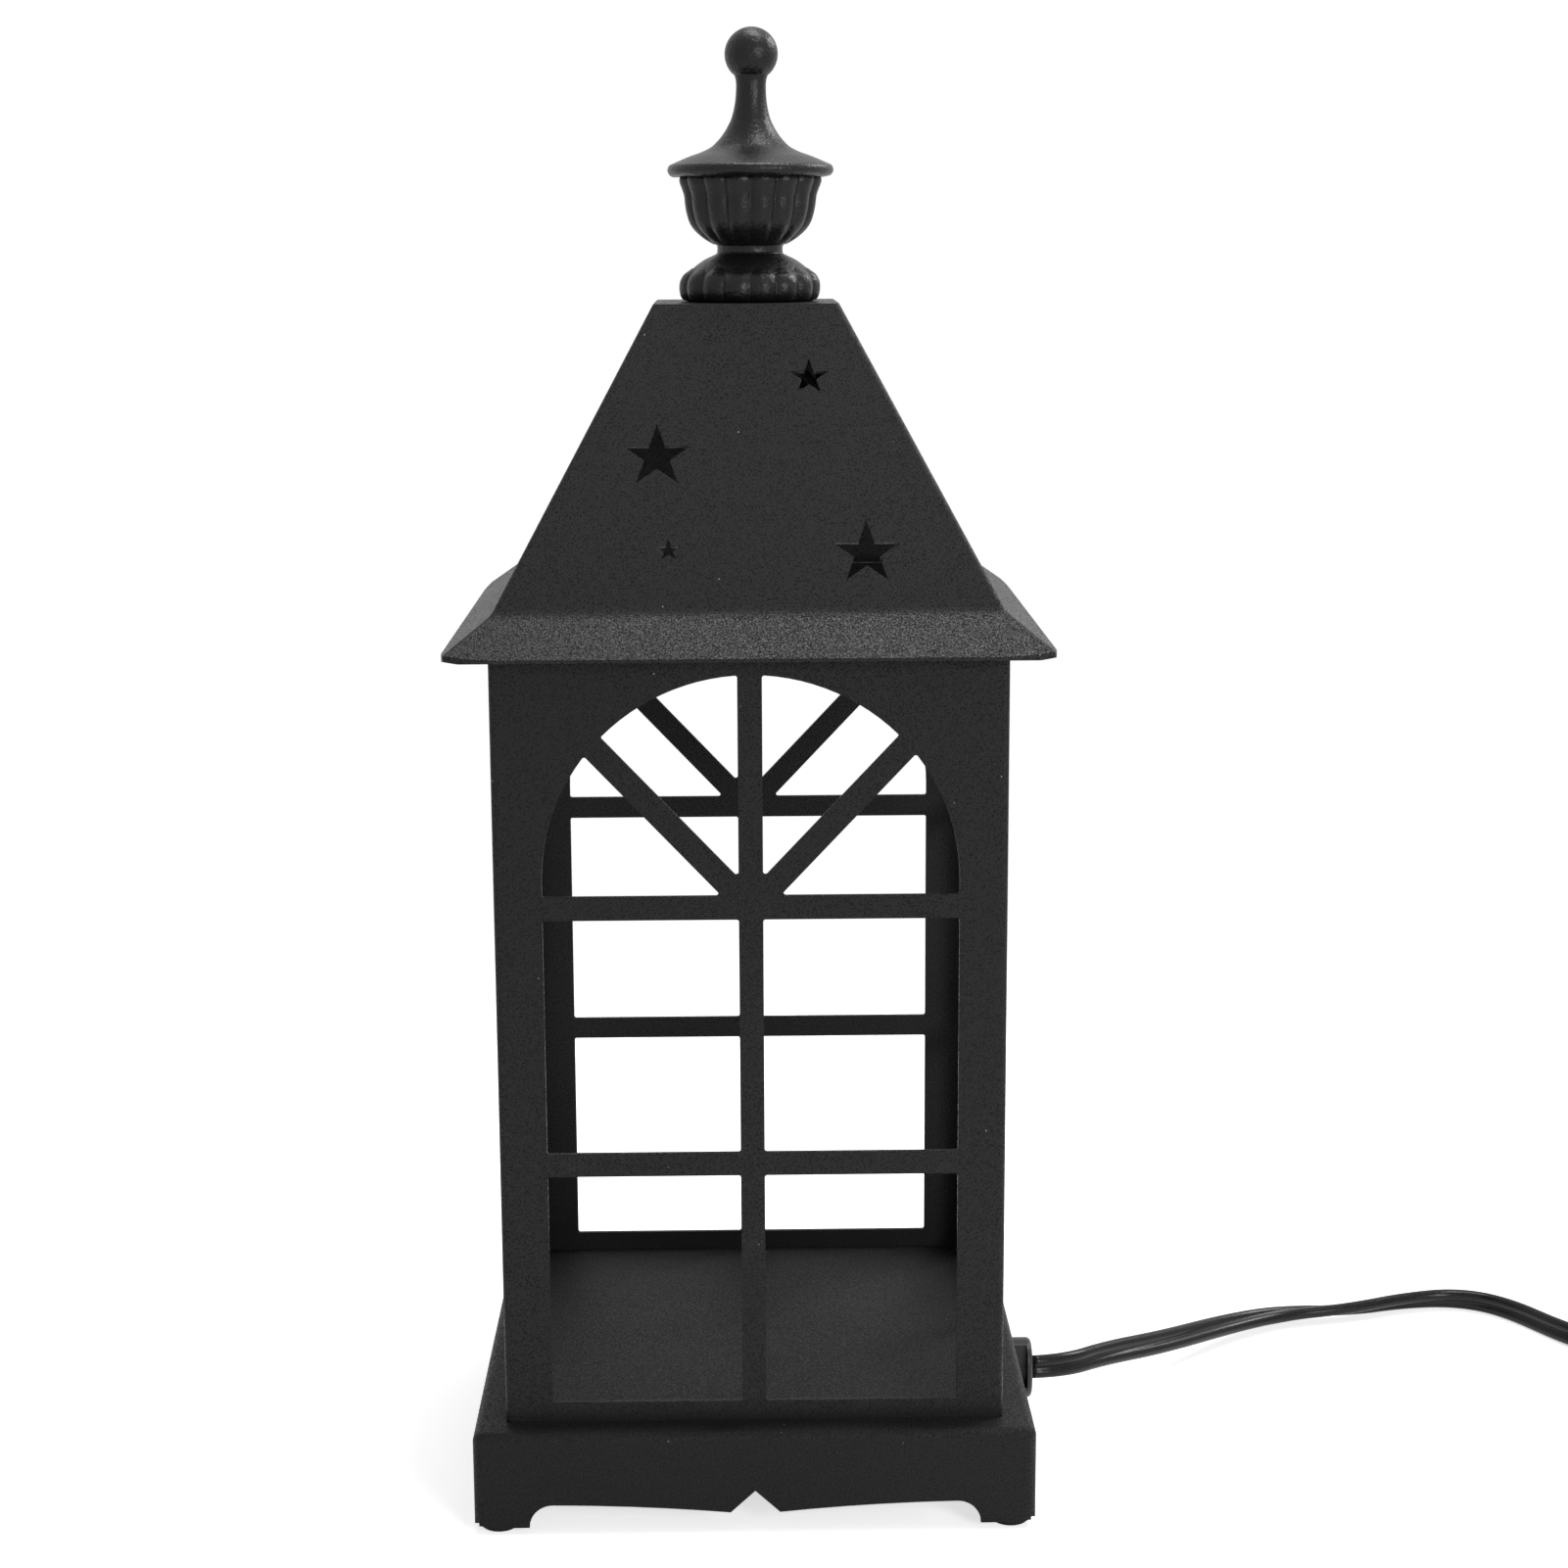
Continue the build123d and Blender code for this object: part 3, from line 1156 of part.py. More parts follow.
with BuildPart() as switch_screws:
    with BuildSketch(SWITCH_PLANE.offset(PLAY)):
        with Locations(*SWITCH_POSTS):
            Circle(SWITCH_SCREW_HEAD)
    extrude(amount=SWITCH_SCREW_TALL)
    with BuildSketch(SWITCH_PLANE.offset(PLAY)):
        with Locations(*SWITCH_POSTS):
            Circle(SWITCH_SCREW)
    extrude(amount=CEILING_Z - 2 * PLAY)
keep(switch_screws.part, "switch_screws")

BLADES_AT = (
    (PLUG_X - BLADE_APART / 2, PLUG_Z),
    (PLUG_X + BLADE_APART / 2, PLUG_Z),
)
PLUG_FRONT = PLUG_Y + PLUG_LONG


def plug_section(distance):
    """Plane across the plug, this far along Y, with X across and Z up."""
    return Plane(origin=(0, distance, 0), x_dir=(1, 0, 0), z_dir=(0, -1, 0))


with BuildPart() as plug_body:
    with BuildSketch(plug_section(PLUG_Y)):
        with Locations((PLUG_X, PLUG_Z)):
            RectangleRounded(PLUG_WIDE / 2, PLUG_TALL / 2, PLUG_ROUND)
    with BuildSketch(plug_section(PLUG_Y + PLUG_TAPER)):
        with Locations((PLUG_X, PLUG_Z)):
            RectangleRounded(PLUG_WIDE, PLUG_TALL, PLUG_ROUND)
    loft()
    with BuildSketch(plug_section(PLUG_Y + PLUG_TAPER)):
        with Locations((PLUG_X, PLUG_Z)):
            RectangleRounded(PLUG_WIDE, PLUG_TALL, PLUG_ROUND)
    extrude(amount=PLUG_TAPER - PLUG_LONG)
    with BuildSketch(plug_section(PLUG_FRONT)):
        with Locations(*BLADES_AT):
            Rectangle(BLADE_THICK + 2 * BLADE_PLAY, BLADE_WIDE + 2 * BLADE_PLAY)
    extrude(amount=BLADE_SUNK, mode=Mode.SUBTRACT)
keep(plug_body.part, "plug_body")

with BuildPart() as plug_blades:
    with BuildSketch(plug_section(PLUG_FRONT + BLADE_LONG)):
        with Locations(*BLADES_AT):
            Rectangle(BLADE_THICK, BLADE_WIDE)
    extrude(amount=BLADE_LONG + BLADE_SUNK)
keep(plug_blades.part, "plug_blades")
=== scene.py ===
import math

import bmesh
import bpy
from mathutils import Matrix, Vector


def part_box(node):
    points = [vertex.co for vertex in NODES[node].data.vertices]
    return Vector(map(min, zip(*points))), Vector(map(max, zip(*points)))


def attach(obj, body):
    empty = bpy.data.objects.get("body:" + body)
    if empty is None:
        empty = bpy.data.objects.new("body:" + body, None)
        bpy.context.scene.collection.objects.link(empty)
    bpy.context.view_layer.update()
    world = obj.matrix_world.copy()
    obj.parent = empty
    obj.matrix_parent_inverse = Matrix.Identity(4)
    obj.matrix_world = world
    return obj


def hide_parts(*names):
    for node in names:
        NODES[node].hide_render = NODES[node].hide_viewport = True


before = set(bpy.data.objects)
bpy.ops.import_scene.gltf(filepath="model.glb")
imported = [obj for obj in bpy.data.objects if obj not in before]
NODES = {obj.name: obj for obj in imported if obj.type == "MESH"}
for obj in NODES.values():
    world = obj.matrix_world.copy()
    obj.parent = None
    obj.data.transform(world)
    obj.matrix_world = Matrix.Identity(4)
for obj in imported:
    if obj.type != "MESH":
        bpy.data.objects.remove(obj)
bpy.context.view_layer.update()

MM = 0.001

# ---------------------------------------------------------------- camera

CAMERA_PLACE = (-0.00317, -0.73942, 0.32125)
CAMERA_YAW = -0.01668
CAMERA_PITCH = -0.19241
CAMERA_ROLL = -0.00475
CAMERA_LENS = 65.79
CAMERA_SENSOR = 36.0


def make_camera():
    """The photograph's viewing angle."""
    data = bpy.data.cameras.new("camera")
    data.lens = CAMERA_LENS
    data.sensor_width = CAMERA_SENSOR
    data.sensor_fit = "HORIZONTAL"
    camera = bpy.data.objects.new("camera", data)
    bpy.context.scene.collection.objects.link(camera)
    turn = (
        Matrix.Rotation(CAMERA_YAW, 4, "Z")
        @ Matrix.Rotation(math.pi / 2 + CAMERA_PITCH, 4, "X")
        @ Matrix.Rotation(CAMERA_ROLL, 4, "Z")
    )
    camera.matrix_world = Matrix.Translation(CAMERA_PLACE) @ turn
    bpy.context.scene.camera = camera


# ---------------------------------------------------------------- shader nodes

BEVEL_SAMPLES = 4


def new_material(name):
    """A node material with its output and one shader."""
    material = bpy.data.materials.new(name)
    material.use_nodes = True
    nodes = material.node_tree.nodes
    nodes.clear()
    output = nodes.new("ShaderNodeOutputMaterial")
    shader = nodes.new("ShaderNodeBsdfPrincipled")
    link(material, shader.outputs[0], output.inputs["Surface"])
    return material, shader


def link(material, start, end):
    """Joins two sockets of a material."""
    material.node_tree.links.new(start, end)


def noise(material, scale, detail=2.0, rough=0.5):
    """Noise in the object's own metres, so its grain keeps a real size."""
    nodes = material.node_tree.nodes
    place = nodes.new("ShaderNodeTexCoord")
    texture = nodes.new("ShaderNodeTexNoise")
    texture.inputs["Scale"].default_value = scale
    texture.inputs["Detail"].default_value = detail
    texture.inputs["Roughness"].default_value = rough
    link(material, place.outputs["Object"], texture.inputs["Vector"])
    return texture.outputs["Fac"]


def cell_distance(material, scale):
    """Distance to the middle of the nearest of many cells, in the object's own metres."""
    nodes = material.node_tree.nodes
    place = nodes.new("ShaderNodeTexCoord")
    cells = nodes.new("ShaderNodeTexVoronoi")
    cells.inputs["Scale"].default_value = scale
    link(material, place.outputs["Object"], cells.inputs["Vector"])
    return cells.outputs["Distance"]


def spread(material, value, low, high, start=0.3, end=0.7):
    """A value remapped from start..end to low..high."""
    ramp = material.node_tree.nodes.new("ShaderNodeMapRange")
    ramp.inputs["From Min"].default_value = start
    ramp.inputs["From Max"].default_value = end
    ramp.inputs["To Min"].default_value = low
    ramp.inputs["To Max"].default_value = high
    link(material, value, ramp.inputs["Value"])
    return ramp.outputs["Result"]


def mix_colour(material, factor, low, high):
    """A colour between two, chosen by a value from 0 to 1."""
    mix = material.node_tree.nodes.new("ShaderNodeMix")
    mix.data_type = "RGBA"
    mix.inputs["A"].default_value = (*low, 1)
    mix.inputs["B"].default_value = (*high, 1)
    link(material, factor, mix.inputs["Factor"])
    return mix.outputs["Result"]


def bump(material, shader, height, distance, strength=1.0, edge=0.0):
    """Height as a bump on the shader, over an optional soft rounding of sharp edges."""
    nodes = material.node_tree.nodes
    node = nodes.new("ShaderNodeBump")
    node.inputs["Distance"].default_value = distance
    node.inputs["Strength"].default_value = strength
    link(material, height, node.inputs["Height"])
    if edge > 0:
        rounding = nodes.new("ShaderNodeBevel")
        rounding.samples = BEVEL_SAMPLES
        rounding.inputs["Radius"].default_value = edge
        link(material, rounding.outputs["Normal"], node.inputs["Normal"])
    link(material, node.outputs["Normal"], shader.inputs["Normal"])


# ---------------------------------------------------------------- materials

COAT_GRAIN = 2300.0
COAT_GRAIN_SPAN = (0.36, 0.66)
COAT_TINT = (1.02, 0.985, 1.0)
COAT_EDGE = 0.15 * MM
# Broad patches of the coat differ by this much in roughness, either way.
PATCH_SCALE = 22.0
PATCH_ROUGH = 0.03
# Pale specks painted into the coat's colour as glints of light: painted highlights, not dust.
GLINT_TONE = (0.3, 0.3, 0.3)
GLINT_CELL = 140.0
GLINT_RADIUS = 0.03
GLINT_CORE = 0.6
CAST_GRAIN = 2400.0
CAST_WAVES = 1000.0
CAST_TONES = ((0.003, 0.003, 0.0031), (0.008, 0.008, 0.0082))
CAST_ROUGH = (0.3, 0.42)
# In the casting's height the waves count this many times as much as the grain.
WAVE_SHARE = 5.0
PLAIN_EDGE = 0.3 * MM
PLAIN_ROUGH_SPAN = 0.05
GLASS_WAVES = 60.0
GLASS_ROUGH = (0.01, 0.05)
FACETS = 320.0
MIRROR_GRAIN = 90.0
MIRROR_ROUGH = (0.08, 0.16)


def painted_glints(material, base):
    """Rare pale specks over a base colour, painted in as glints of light."""
    distance = cell_distance(material, GLINT_CELL)
    amount = spread(material, distance, 1.0, 0.0, GLINT_RADIUS * GLINT_CORE, GLINT_RADIUS)
    mix = material.node_tree.nodes.new("ShaderNodeMix")
    mix.data_type = "RGBA"
    mix.inputs["B"].default_value = (*GLINT_TONE, 1)
    link(material, amount, mix.inputs["Factor"])
    link(material, base, mix.inputs["A"])
    return mix.outputs["Result"]


def coat_colour(tone):
    """A grey of the powder coat, with a trace of red."""
    return tuple(tone * share for share in COAT_TINT)


def powder_coat(name, depth, rough, gloss, tones):
    """Black powder coat. Its grain changes the tone and the roughness, and rare pale specks in its colour
    are painted glints.

    rough is its mean roughness and how far the grain moves it. tones are its darkest and lightest.
    """
    material, shader = new_material(name)
    fine = noise(material, COAT_GRAIN, rough=0.6)
    broad = noise(material, PATCH_SCALE, detail=3.0)
    mean, swing = rough
    low, high = (coat_colour(tone) for tone in tones)
    base = mix_colour(material, spread(material, fine, 0.0, 1.0, *COAT_GRAIN_SPAN), low, high)
    link(material, painted_glints(material, base), shader.inputs["Base Color"])
    grain_rough = spread(material, fine, mean + swing, mean - swing, *COAT_GRAIN_SPAN)
    matte = material.node_tree.nodes.new("ShaderNodeMath")
    link(material, grain_rough, matte.inputs[0])
    link(material, spread(material, broad, -PATCH_ROUGH, PATCH_ROUGH), matte.inputs[1])
    link(material, matte.outputs["Value"], shader.inputs["Roughness"])
    shader.inputs["Specular IOR Level"].default_value = gloss
    bump(material, shader, fine, depth, edge=COAT_EDGE)
    return material


def cast_black():
    """Painted casting: satin, with a soft fine grain and small unevenness."""
    material, shader = new_material("cast_black")
    fine = noise(material, CAST_GRAIN, rough=0.6)
    waves = noise(material, CAST_WAVES)
    tone = spread(material, fine, 0.0, 1.0)
    base = mix_colour(material, tone, *CAST_TONES)
    link(material, base, shader.inputs["Base Color"])
    link(material, spread(material, fine, *CAST_ROUGH), shader.inputs["Roughness"])
    shader.inputs["Specular IOR Level"].default_value = 0.24
    height = material.node_tree.nodes.new("ShaderNodeMath")
    height.operation = "MULTIPLY_ADD"
    height.inputs[1].default_value = WAVE_SHARE
    link(material, waves, height.inputs[0])
    link(material, fine, height.inputs[2])
    bump(material, shader, height.outputs["Value"], distance=0.00004)
    return material


def plain(name, low, high, scale, rough, depth, metal=0.0, gloss=0.5):
    """A finish of two close tones under a noise, with matching roughness and bump."""
    material, shader = new_material(name)
    grain = noise(material, scale, detail=3.0, rough=0.6)
    tone = spread(material, grain, 0.0, 1.0)
    link(material, mix_colour(material, tone, low, high), shader.inputs["Base Color"])
    grain_rough = spread(material, grain, rough - PLAIN_ROUGH_SPAN, rough + PLAIN_ROUGH_SPAN)
    link(material, grain_rough, shader.inputs["Roughness"])
    shader.inputs["Metallic"].default_value = metal
    shader.inputs["Specular IOR Level"].default_value = gloss
    bump(material, shader, grain, depth, strength=0.5, edge=PLAIN_EDGE)
    return material


def clear_glass():
    """Lamp glass."""
    material, shader = new_material("clear_glass")
    waves = noise(material, GLASS_WAVES, detail=1.0)
    shader.inputs["Base Color"].default_value = (0.96, 0.97, 0.97, 1)
    shader.inputs["Transmission Weight"].default_value = 1.0
    shader.inputs["IOR"].default_value = 1.47
    link(material, spread(material, waves, *GLASS_ROUGH), shader.inputs["Roughness"])
    bump(material, shader, waves, distance=0.0001, strength=0.3)
    return material


def faceted_mirror():
    """Reflector coat with small facets."""
    material, shader = new_material("faceted_mirror")
    shader.inputs["Base Color"].default_value = (0.82, 0.82, 0.84, 1)
    shader.inputs["Metallic"].default_value = 1.0
    grain = noise(material, MIRROR_GRAIN)
    link(material, spread(material, grain, *MIRROR_ROUGH), shader.inputs["Roughness"])
    bump(material, shader, cell_distance(material, FACETS), distance=0.0006, strength=0.6)
    return material


def make_materials():
    """Every finish, by the name used below."""
    return {
        # The roof's copy of the coat has darker lows and lighter highs than the panels'. The grain is the
        # coat's own, but its stronger contrast and lighter mean tone on the roof are painted light.
        "roof_sheet_lit": powder_coat(
            "powder_coat_roof_lit", depth=0.0001, rough=(0.5, 0.3), gloss=0.17, tones=(0.001, 0.024)
        ),
        "sheet": powder_coat(
            "powder_coat", depth=0.0001, rough=(0.5, 0.3), gloss=0.17, tones=(0.004, 0.0165)
        ),
        "base_sheet": powder_coat(
            "powder_coat_base", depth=0.00025, rough=(0.55, 0.2), gloss=0.14, tones=(0.006, 0.014)
        ),
        "casting": cast_black(),
        "cord": plain(
            "cord_pvc", (0.004, 0.004, 0.0042), (0.008, 0.008, 0.0084),
            scale=900.0, rough=0.22, depth=0.00004, gloss=0.2,
        ),
        "plastic": plain(
            "moulded_black", (0.006, 0.006, 0.0062), (0.012, 0.012, 0.0123),
            scale=1300.0, rough=0.36, depth=0.00006, gloss=0.35,
        ),
        "rubber": plain(
            "black_rubber", (0.006, 0.006, 0.006), (0.012, 0.012, 0.012),
            scale=1100.0, rough=0.7, depth=0.0001, gloss=0.2,
        ),
        "zinc": plain(
            "zinc_plate", (0.42, 0.43, 0.44), (0.58, 0.58, 0.57),
            scale=500.0, rough=0.32, depth=0.00003, metal=1.0,
        ),
        "brass": plain(
            "brass", (0.58, 0.42, 0.17), (0.72, 0.55, 0.26),
            scale=420.0, rough=0.26, depth=0.00003, metal=1.0,
        ),
        "porcelain": plain(
            "porcelain", (0.66, 0.62, 0.54), (0.76, 0.72, 0.64),
            scale=380.0, rough=0.5, depth=0.00006, gloss=0.4,
        ),
        "sleeve": plain(
            "glass_fibre_sleeve", (0.02, 0.02, 0.019), (0.045, 0.044, 0.042),
            scale=2600.0, rough=0.75, depth=0.0002, gloss=0.2,
        ),
        "white_plastic": plain(
            "white_plastic", (0.7, 0.7, 0.68), (0.78, 0.78, 0.76),
            scale=800.0, rough=0.45, depth=0.00004,
        ),
        "glass": clear_glass(),
        "mirror": faceted_mirror(),
    }


FINISH_OF = {
    "roof_sheet_lit": ("roof_front", "roof_right", "roof_rear", "roof_left", "roof_top_plate"),
    "sheet": (
        "front_panel", "right_panel", "rear_panel", "left_panel", "roof_tabs", "wire_channel",
        "lamp_bracket", "wiring_cover", "corner_gussets",
    ),
    "base_sheet": ("base_pan",),
    "casting": ("finial_base", "finial_cup", "finial_cap"),
    "plastic": (
        "strain_relief_body", "strain_relief_wedge", "switch_bottom_shell", "switch_top_shell",
        "switch_wheel", "plug_body",
    ),
    "cord": ("inner_cord_tail", "cord_to_switch", "cord_to_coil", "cord_coil", "cord_to_plug"),
    "rubber": ("rubber_feet",),
    "zinc": (
        "roof_screws", "finial_rod", "rod_nut", "rod_washer", "lampholder_screws", "cover_studs",
        "cover_nuts", "switch_screws",
    ),
    "brass": ("bulb_pins", "switch_contacts", "plug_blades"),
    "porcelain": ("lampholder", "bulb_base"),
    "sleeve": ("lamp_leads",),
    "white_plastic": ("crimp_connectors",),
    "glass": ("bulb_front_glass", "bulb_capsule"),
    "mirror": ("bulb_reflector",),
}


def dress_nodes(materials):
    """Gives every CAD node its finish."""
    for finish, names in FINISH_OF.items():
        for name in names:
            slots = NODES[name].data.materials
            slots.clear()
            slots.append(materials[finish])


# ---------------------------------------------------------------- meshes


def finish_mesh(name, bm, smooth=True):
    """A linked object from a bmesh."""
    mesh = bpy.data.meshes.new(name)
    bm.to_mesh(mesh)
    bm.free()
    for face in mesh.polygons:
        face.use_smooth = smooth
    piece = bpy.data.objects.new(name, mesh)
    bpy.context.scene.collection.objects.link(piece)
    return piece


def skin_rings(name, rings):
    """A closed piece over rings of points, each ring with as many points as the next."""
    bm = bmesh.new()
    grid = [[bm.verts.new(point) for point in ring] for ring in rings]
    count = len(grid[0])
    for ring, after in zip(grid, grid[1:]):
        for index in range(count):
            following = (index + 1) % count
            bm.faces.new((ring[index], ring[following], after[following], after[index]))
    bm.faces.new(list(reversed(grid[0])))
    bm.faces.new(grid[-1])
    bmesh.ops.recalc_face_normals(bm, faces=bm.faces)
    return finish_mesh(name, bm)


def smooth_step(value, span):
    """0 before span, 1 after it, eased between."""
    share = min(max((value - span[0]) / (span[1] - span[0]), 0.0), 1.0)
    return share * share * (3 - 2 * share)


# ---------------------------------------------------------------- lead

# The width of the solids' tube, and the thickness of the section drawn here, which is twice as wide.
SECTION_THICK = 3.35 * MM
# From the base to the switch, on to the coil and to the plug, in millimetres, as the solids' route.
TO_SWITCH = (
    (76.05, 0.0, 13.8), (85.5, 1.6, 13.4), (98.1, 14.2, 11.7), (117.0, 30.5, 8.3),
    (138.9, 51.8, 4.9), (156.5, 63.4, 3.4), (178.1, 66.5, 3.2), (196.1, 73.0, 3.35),
    (212.2, 75.0, 3.35), (224.9, 67.4, 3.35), (237.5, 44.6, 3.35), (244.1, 36.6, 4.4),
    (249.5, 26.0, 7.5),
)
TO_COIL = (
    (272.0, -18.6, 7.5), (277.3, -29.2, 5.2), (288.6, -41.8, 3.4), (303.2, -50.8, 3.35),
    (319.8, -54.9, 3.35),
)
TO_PLUG = (
    (375.5, -3.0, 9.1), (375.9, 9.0, 9.0), (376.6, 21.0, 9.0), (376.6, 33.0, 9.0),
)
COIL_CENTRE = Vector((337.0, -17.0, 0.0))
COIL_OUTER = 38.6
COIL_INNER = 31.0
COIL_LAYERS = (3.35, 10.05)
COIL_TURNS_A_LAYER = 3
POINTS_A_TURN = 12
# The lead climbs from the lower layer to the upper one over this many points.
POINTS_OF_CLIMB = 4
ROUTE_RESOLUTION = 10
# Each conductor's round runs this many degrees either way from its outer side to the groove.
CONDUCTOR_HALF_ARC = 152
CONDUCTOR_STEPS = 12
# The lead turns over once on the table: millimetres from the strain relief, and degrees of its
# broad side from upright towards the rear.
TWIST = (
    (0, -8), (19, 8), (40, 26), (62, 45), (83, 63), (102, 84), (110, 99), (121, 114), (133, 129),
    (149, 143), (163, 157), (183, 176), (200, 180),
)


def coil_points():
    """Turns inwards on the table, then outwards on top of them, and a quarter turn to the plug."""
    points = []
    step = 2 * math.pi / POINTS_A_TURN
    # The smooth line runs inside its control points, so they lie this many times further out.
    swell = 1 / math.cos(step / 2) ** 2 * 0.5 + 0.5
    count = COIL_TURNS_A_LAYER * POINTS_A_TURN
    front = -math.pi / 2
    for index in range(2 * count + POINTS_A_TURN // 4):
        along = index / count
        inwards = along if along <= 1 else max(0.0, 2.0 - along)
        radius = COIL_OUTER + (COIL_INNER - COIL_OUTER) * inwards
        climb = min(max((index - count + POINTS_OF_CLIMB / 2) / POINTS_OF_CLIMB, 0.0), 1.0)
        height = COIL_LAYERS[0] + (COIL_LAYERS[1] - COIL_LAYERS[0]) * climb
        angle = front + step * index
        spot = COIL_CENTRE + Vector((math.cos(angle), math.sin(angle), 0)) * radius * swell
        points.append((spot.x, spot.y, height))
    return points


def route_points():
    """Fine points along the lead's smooth line, read from its NURBS spline."""
    controls = [Vector(point) * MM for point in (*TO_SWITCH, *TO_COIL, *coil_points(), *TO_PLUG)]
    curve = bpy.data.curves.new("lead_route", "CURVE")
    curve.dimensions = "3D"
    spline = curve.splines.new("NURBS")
    spline.points.add(len(controls) - 1)
    for point, place in zip(spline.points, controls):
        point.co = (*place, 1)
    spline.order_u = 3
    spline.use_endpoint_u = True
    spline.resolution_u = ROUTE_RESOLUTION
    carrier = bpy.data.objects.new("lead_route", curve)
    bpy.context.scene.collection.objects.link(carrier)
    mesh = bpy.data.meshes.new_from_object(carrier)
    points = [vertex.co.copy() for vertex in mesh.vertices]
    bpy.data.objects.remove(carrier)
    return points


def twin_section():
    """Two conductors side by side with a groove between: (along the broad side, across it)."""
    radius = SECTION_THICK / 2
    section = []
    for side in (1, -1):
        for step in range(CONDUCTOR_STEPS + 1):
            turned = step * 2 * CONDUCTOR_HALF_ARC / CONDUCTOR_STEPS
            angle = math.radians(-CONDUCTOR_HALF_ARC + turned)
            along = side * (radius + radius * math.cos(angle))
            section.append((along, side * radius * math.sin(angle)))
    return section


def twist_at(travelled):
    """Lean of the broad side, in radians, this far along the lead."""
    for (start, low), (end, high) in zip(TWIST, TWIST[1:]):
        if travelled < end * MM:
            return math.radians(low + (high - low) * (travelled / MM - start) / (end - start))
    return math.radians(TWIST[-1][1])


def lead_rings(points):
    """The lead's section at each point, square to its line and turned by its twist."""
    section = twin_section()
    travelled = 0.0
    rings = []
    for index, place in enumerate(points):
        before = points[max(index - 1, 0)]
        after = points[min(index + 1, len(points) - 1)]
        travelled += (place - before).length
        along = (after - before).normalized()
        level = Vector((0, 0, 1)).cross(along).normalized()
        upright = along.cross(level).normalized()
        lean = twist_at(travelled)
        broad = upright * math.cos(lean) + level * math.sin(lean)
        thin = along.cross(broad)
        rings.append([place + broad * u + thin * v for u, v in section])
    return rings


def make_cord(materials):
    """The flat twin lead, from the base through the switch and the coil to the plug."""
    points = route_points()
    cord = skin_rings("lead", lead_rings(points))
    cord.data.materials.append(materials["cord"])
    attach(cord, "lantern")
    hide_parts("cord_to_switch", "cord_to_coil", "cord_coil", "cord_to_plug")


# ---------------------------------------------------------------- finial

# The finial stands a little to the right on the roof, and leans right by this much a metre.
FINIAL_SHIFT = 1.0 * MM
FINIAL_LEAN = 0.0131
LOBES = 16
AROUND = LOBES * 24
ROOF_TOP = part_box("roof_top_plate")[1].z

# Profiles, as (radius, height above the roof) in millimetres, from the bottom up.
BASE_POINTS = (
    (15.2, 0.0), (16.5, 0.5), (17.2, 1.6), (17.5, 3.1), (17.45, 4.6), (17.1, 5.7), (16.3, 6.9),
    (14.9, 7.9), (13.4, 9.2), (11.5, 10.5), (9.6, 11.4), (8.6, 11.9), (8.3, 12.3),
)
CUP_POINTS = (
    (8.3, 12.3), (8.4, 14.0), (9.5, 14.4), (11.5, 15.5), (13.2, 16.8), (14.6, 18.2), (15.6, 19.8),
    (16.2, 21.6), (16.6, 23.4), (16.8, 25.0), (17.0, 26.5), (17.5, 28.0), (18.1, 29.6), (18.3, 31.05),
)
CAP_POINTS = (
    (18.7, 31.05), (19.7, 31.15), (20.5, 31.6), (20.95, 32.5), (20.8, 33.4), (20.3, 34.0),
    (19.5, 34.35), (18.6, 34.75), (15.5, 36.05), (12.4, 37.15), (10.0, 38.35), (8.6, 39.6), (7.5, 40.85),
    (6.6, 42.1), (5.9, 43.3), (5.05, 45.0), (4.5, 46.8), (4.1, 48.7), (3.85, 50.8), (3.75, 53.4),
    (3.9, 55.0), (4.25, 56.0),
)
PROFILE_ROWS = 90
CAP_ROWS = 120
BALL_CENTRE = 61.1
BALL_RADIUS = 6.7
BALL_NECK = 4.2
BALL_ROWS = 24
# The ball's last row lies this share of the way up to its pole, and a small face closes it.
BALL_TOP = 0.995

# The foot's lobes: how far they stand out, how deep their grooves are, how high a lobe's middle
# reaches and how much lower a groove ends. Spans are heights over which a change is eased.
LOBE_OUT = 0.6
LOBE_GROOVE = 1.1
LOBE_TALL = 8.3
LOBE_ARCH = 1.2
LOBE_FOOT_SPAN = (-0.3, 0.8)
LOBE_EDGE_BELOW = 0.15
LOBE_EDGE_ABOVE = 0.35
# The cup's ribs: the depth of a groove where the cup has this radius.
CUP_GROOVE = 1.15
CUP_GROOVE_RADIUS = 16.5
CUP_WAIST_SPAN = (14.2, 16.5)
CUP_RIM_ROUND = 0.4
CUP_RIM_SPAN = (30.0, 31.5)
# The uneven rim of the cap: waves of (height, how many go round, where they start in radians).
RIM_WAVES = ((0.10, 7, 1.3), (0.07, 17, 0.0))
RIM_SPAN = (31.0, 32.2)


def lathe(name, rows, bend):
    """A closed turned form. rows are (radius, height), and bend changes each at an angle."""
    angles = [2 * math.pi * index / AROUND for index in range(AROUND)]
    rings = []
    for radius, height in rows:
        ring = []
        for angle in angles:
            reach, level = bend(radius, height, angle)
            ring.append((reach * math.cos(angle), reach * math.sin(angle), level))
        rings.append(ring)
    return skin_rings(name, rings)


def curve_rows(points, count):
    """A smooth profile through points, as count + 1 rows of (radius, height) in metres."""
    rows = []
    last = len(points) - 1
    for index in range(count + 1):
        t = index / count * last
        knot = min(int(t), last - 1)
        t -= knot
        before = Vector(points[max(knot - 1, 0)])
        start = Vector(points[knot])
        end = Vector(points[knot + 1])
        after = Vector(points[min(knot + 2, last)])
        spot = 0.5 * (
            2 * start + (end - before) * t + (2 * before - 5 * start + 4 * end - after) * t ** 2
            + (3 * start - 3 * end + after - before) * t ** 3
        )
        rows.append((spot.x * MM, ROOF_TOP + spot.y * MM))
    return rows


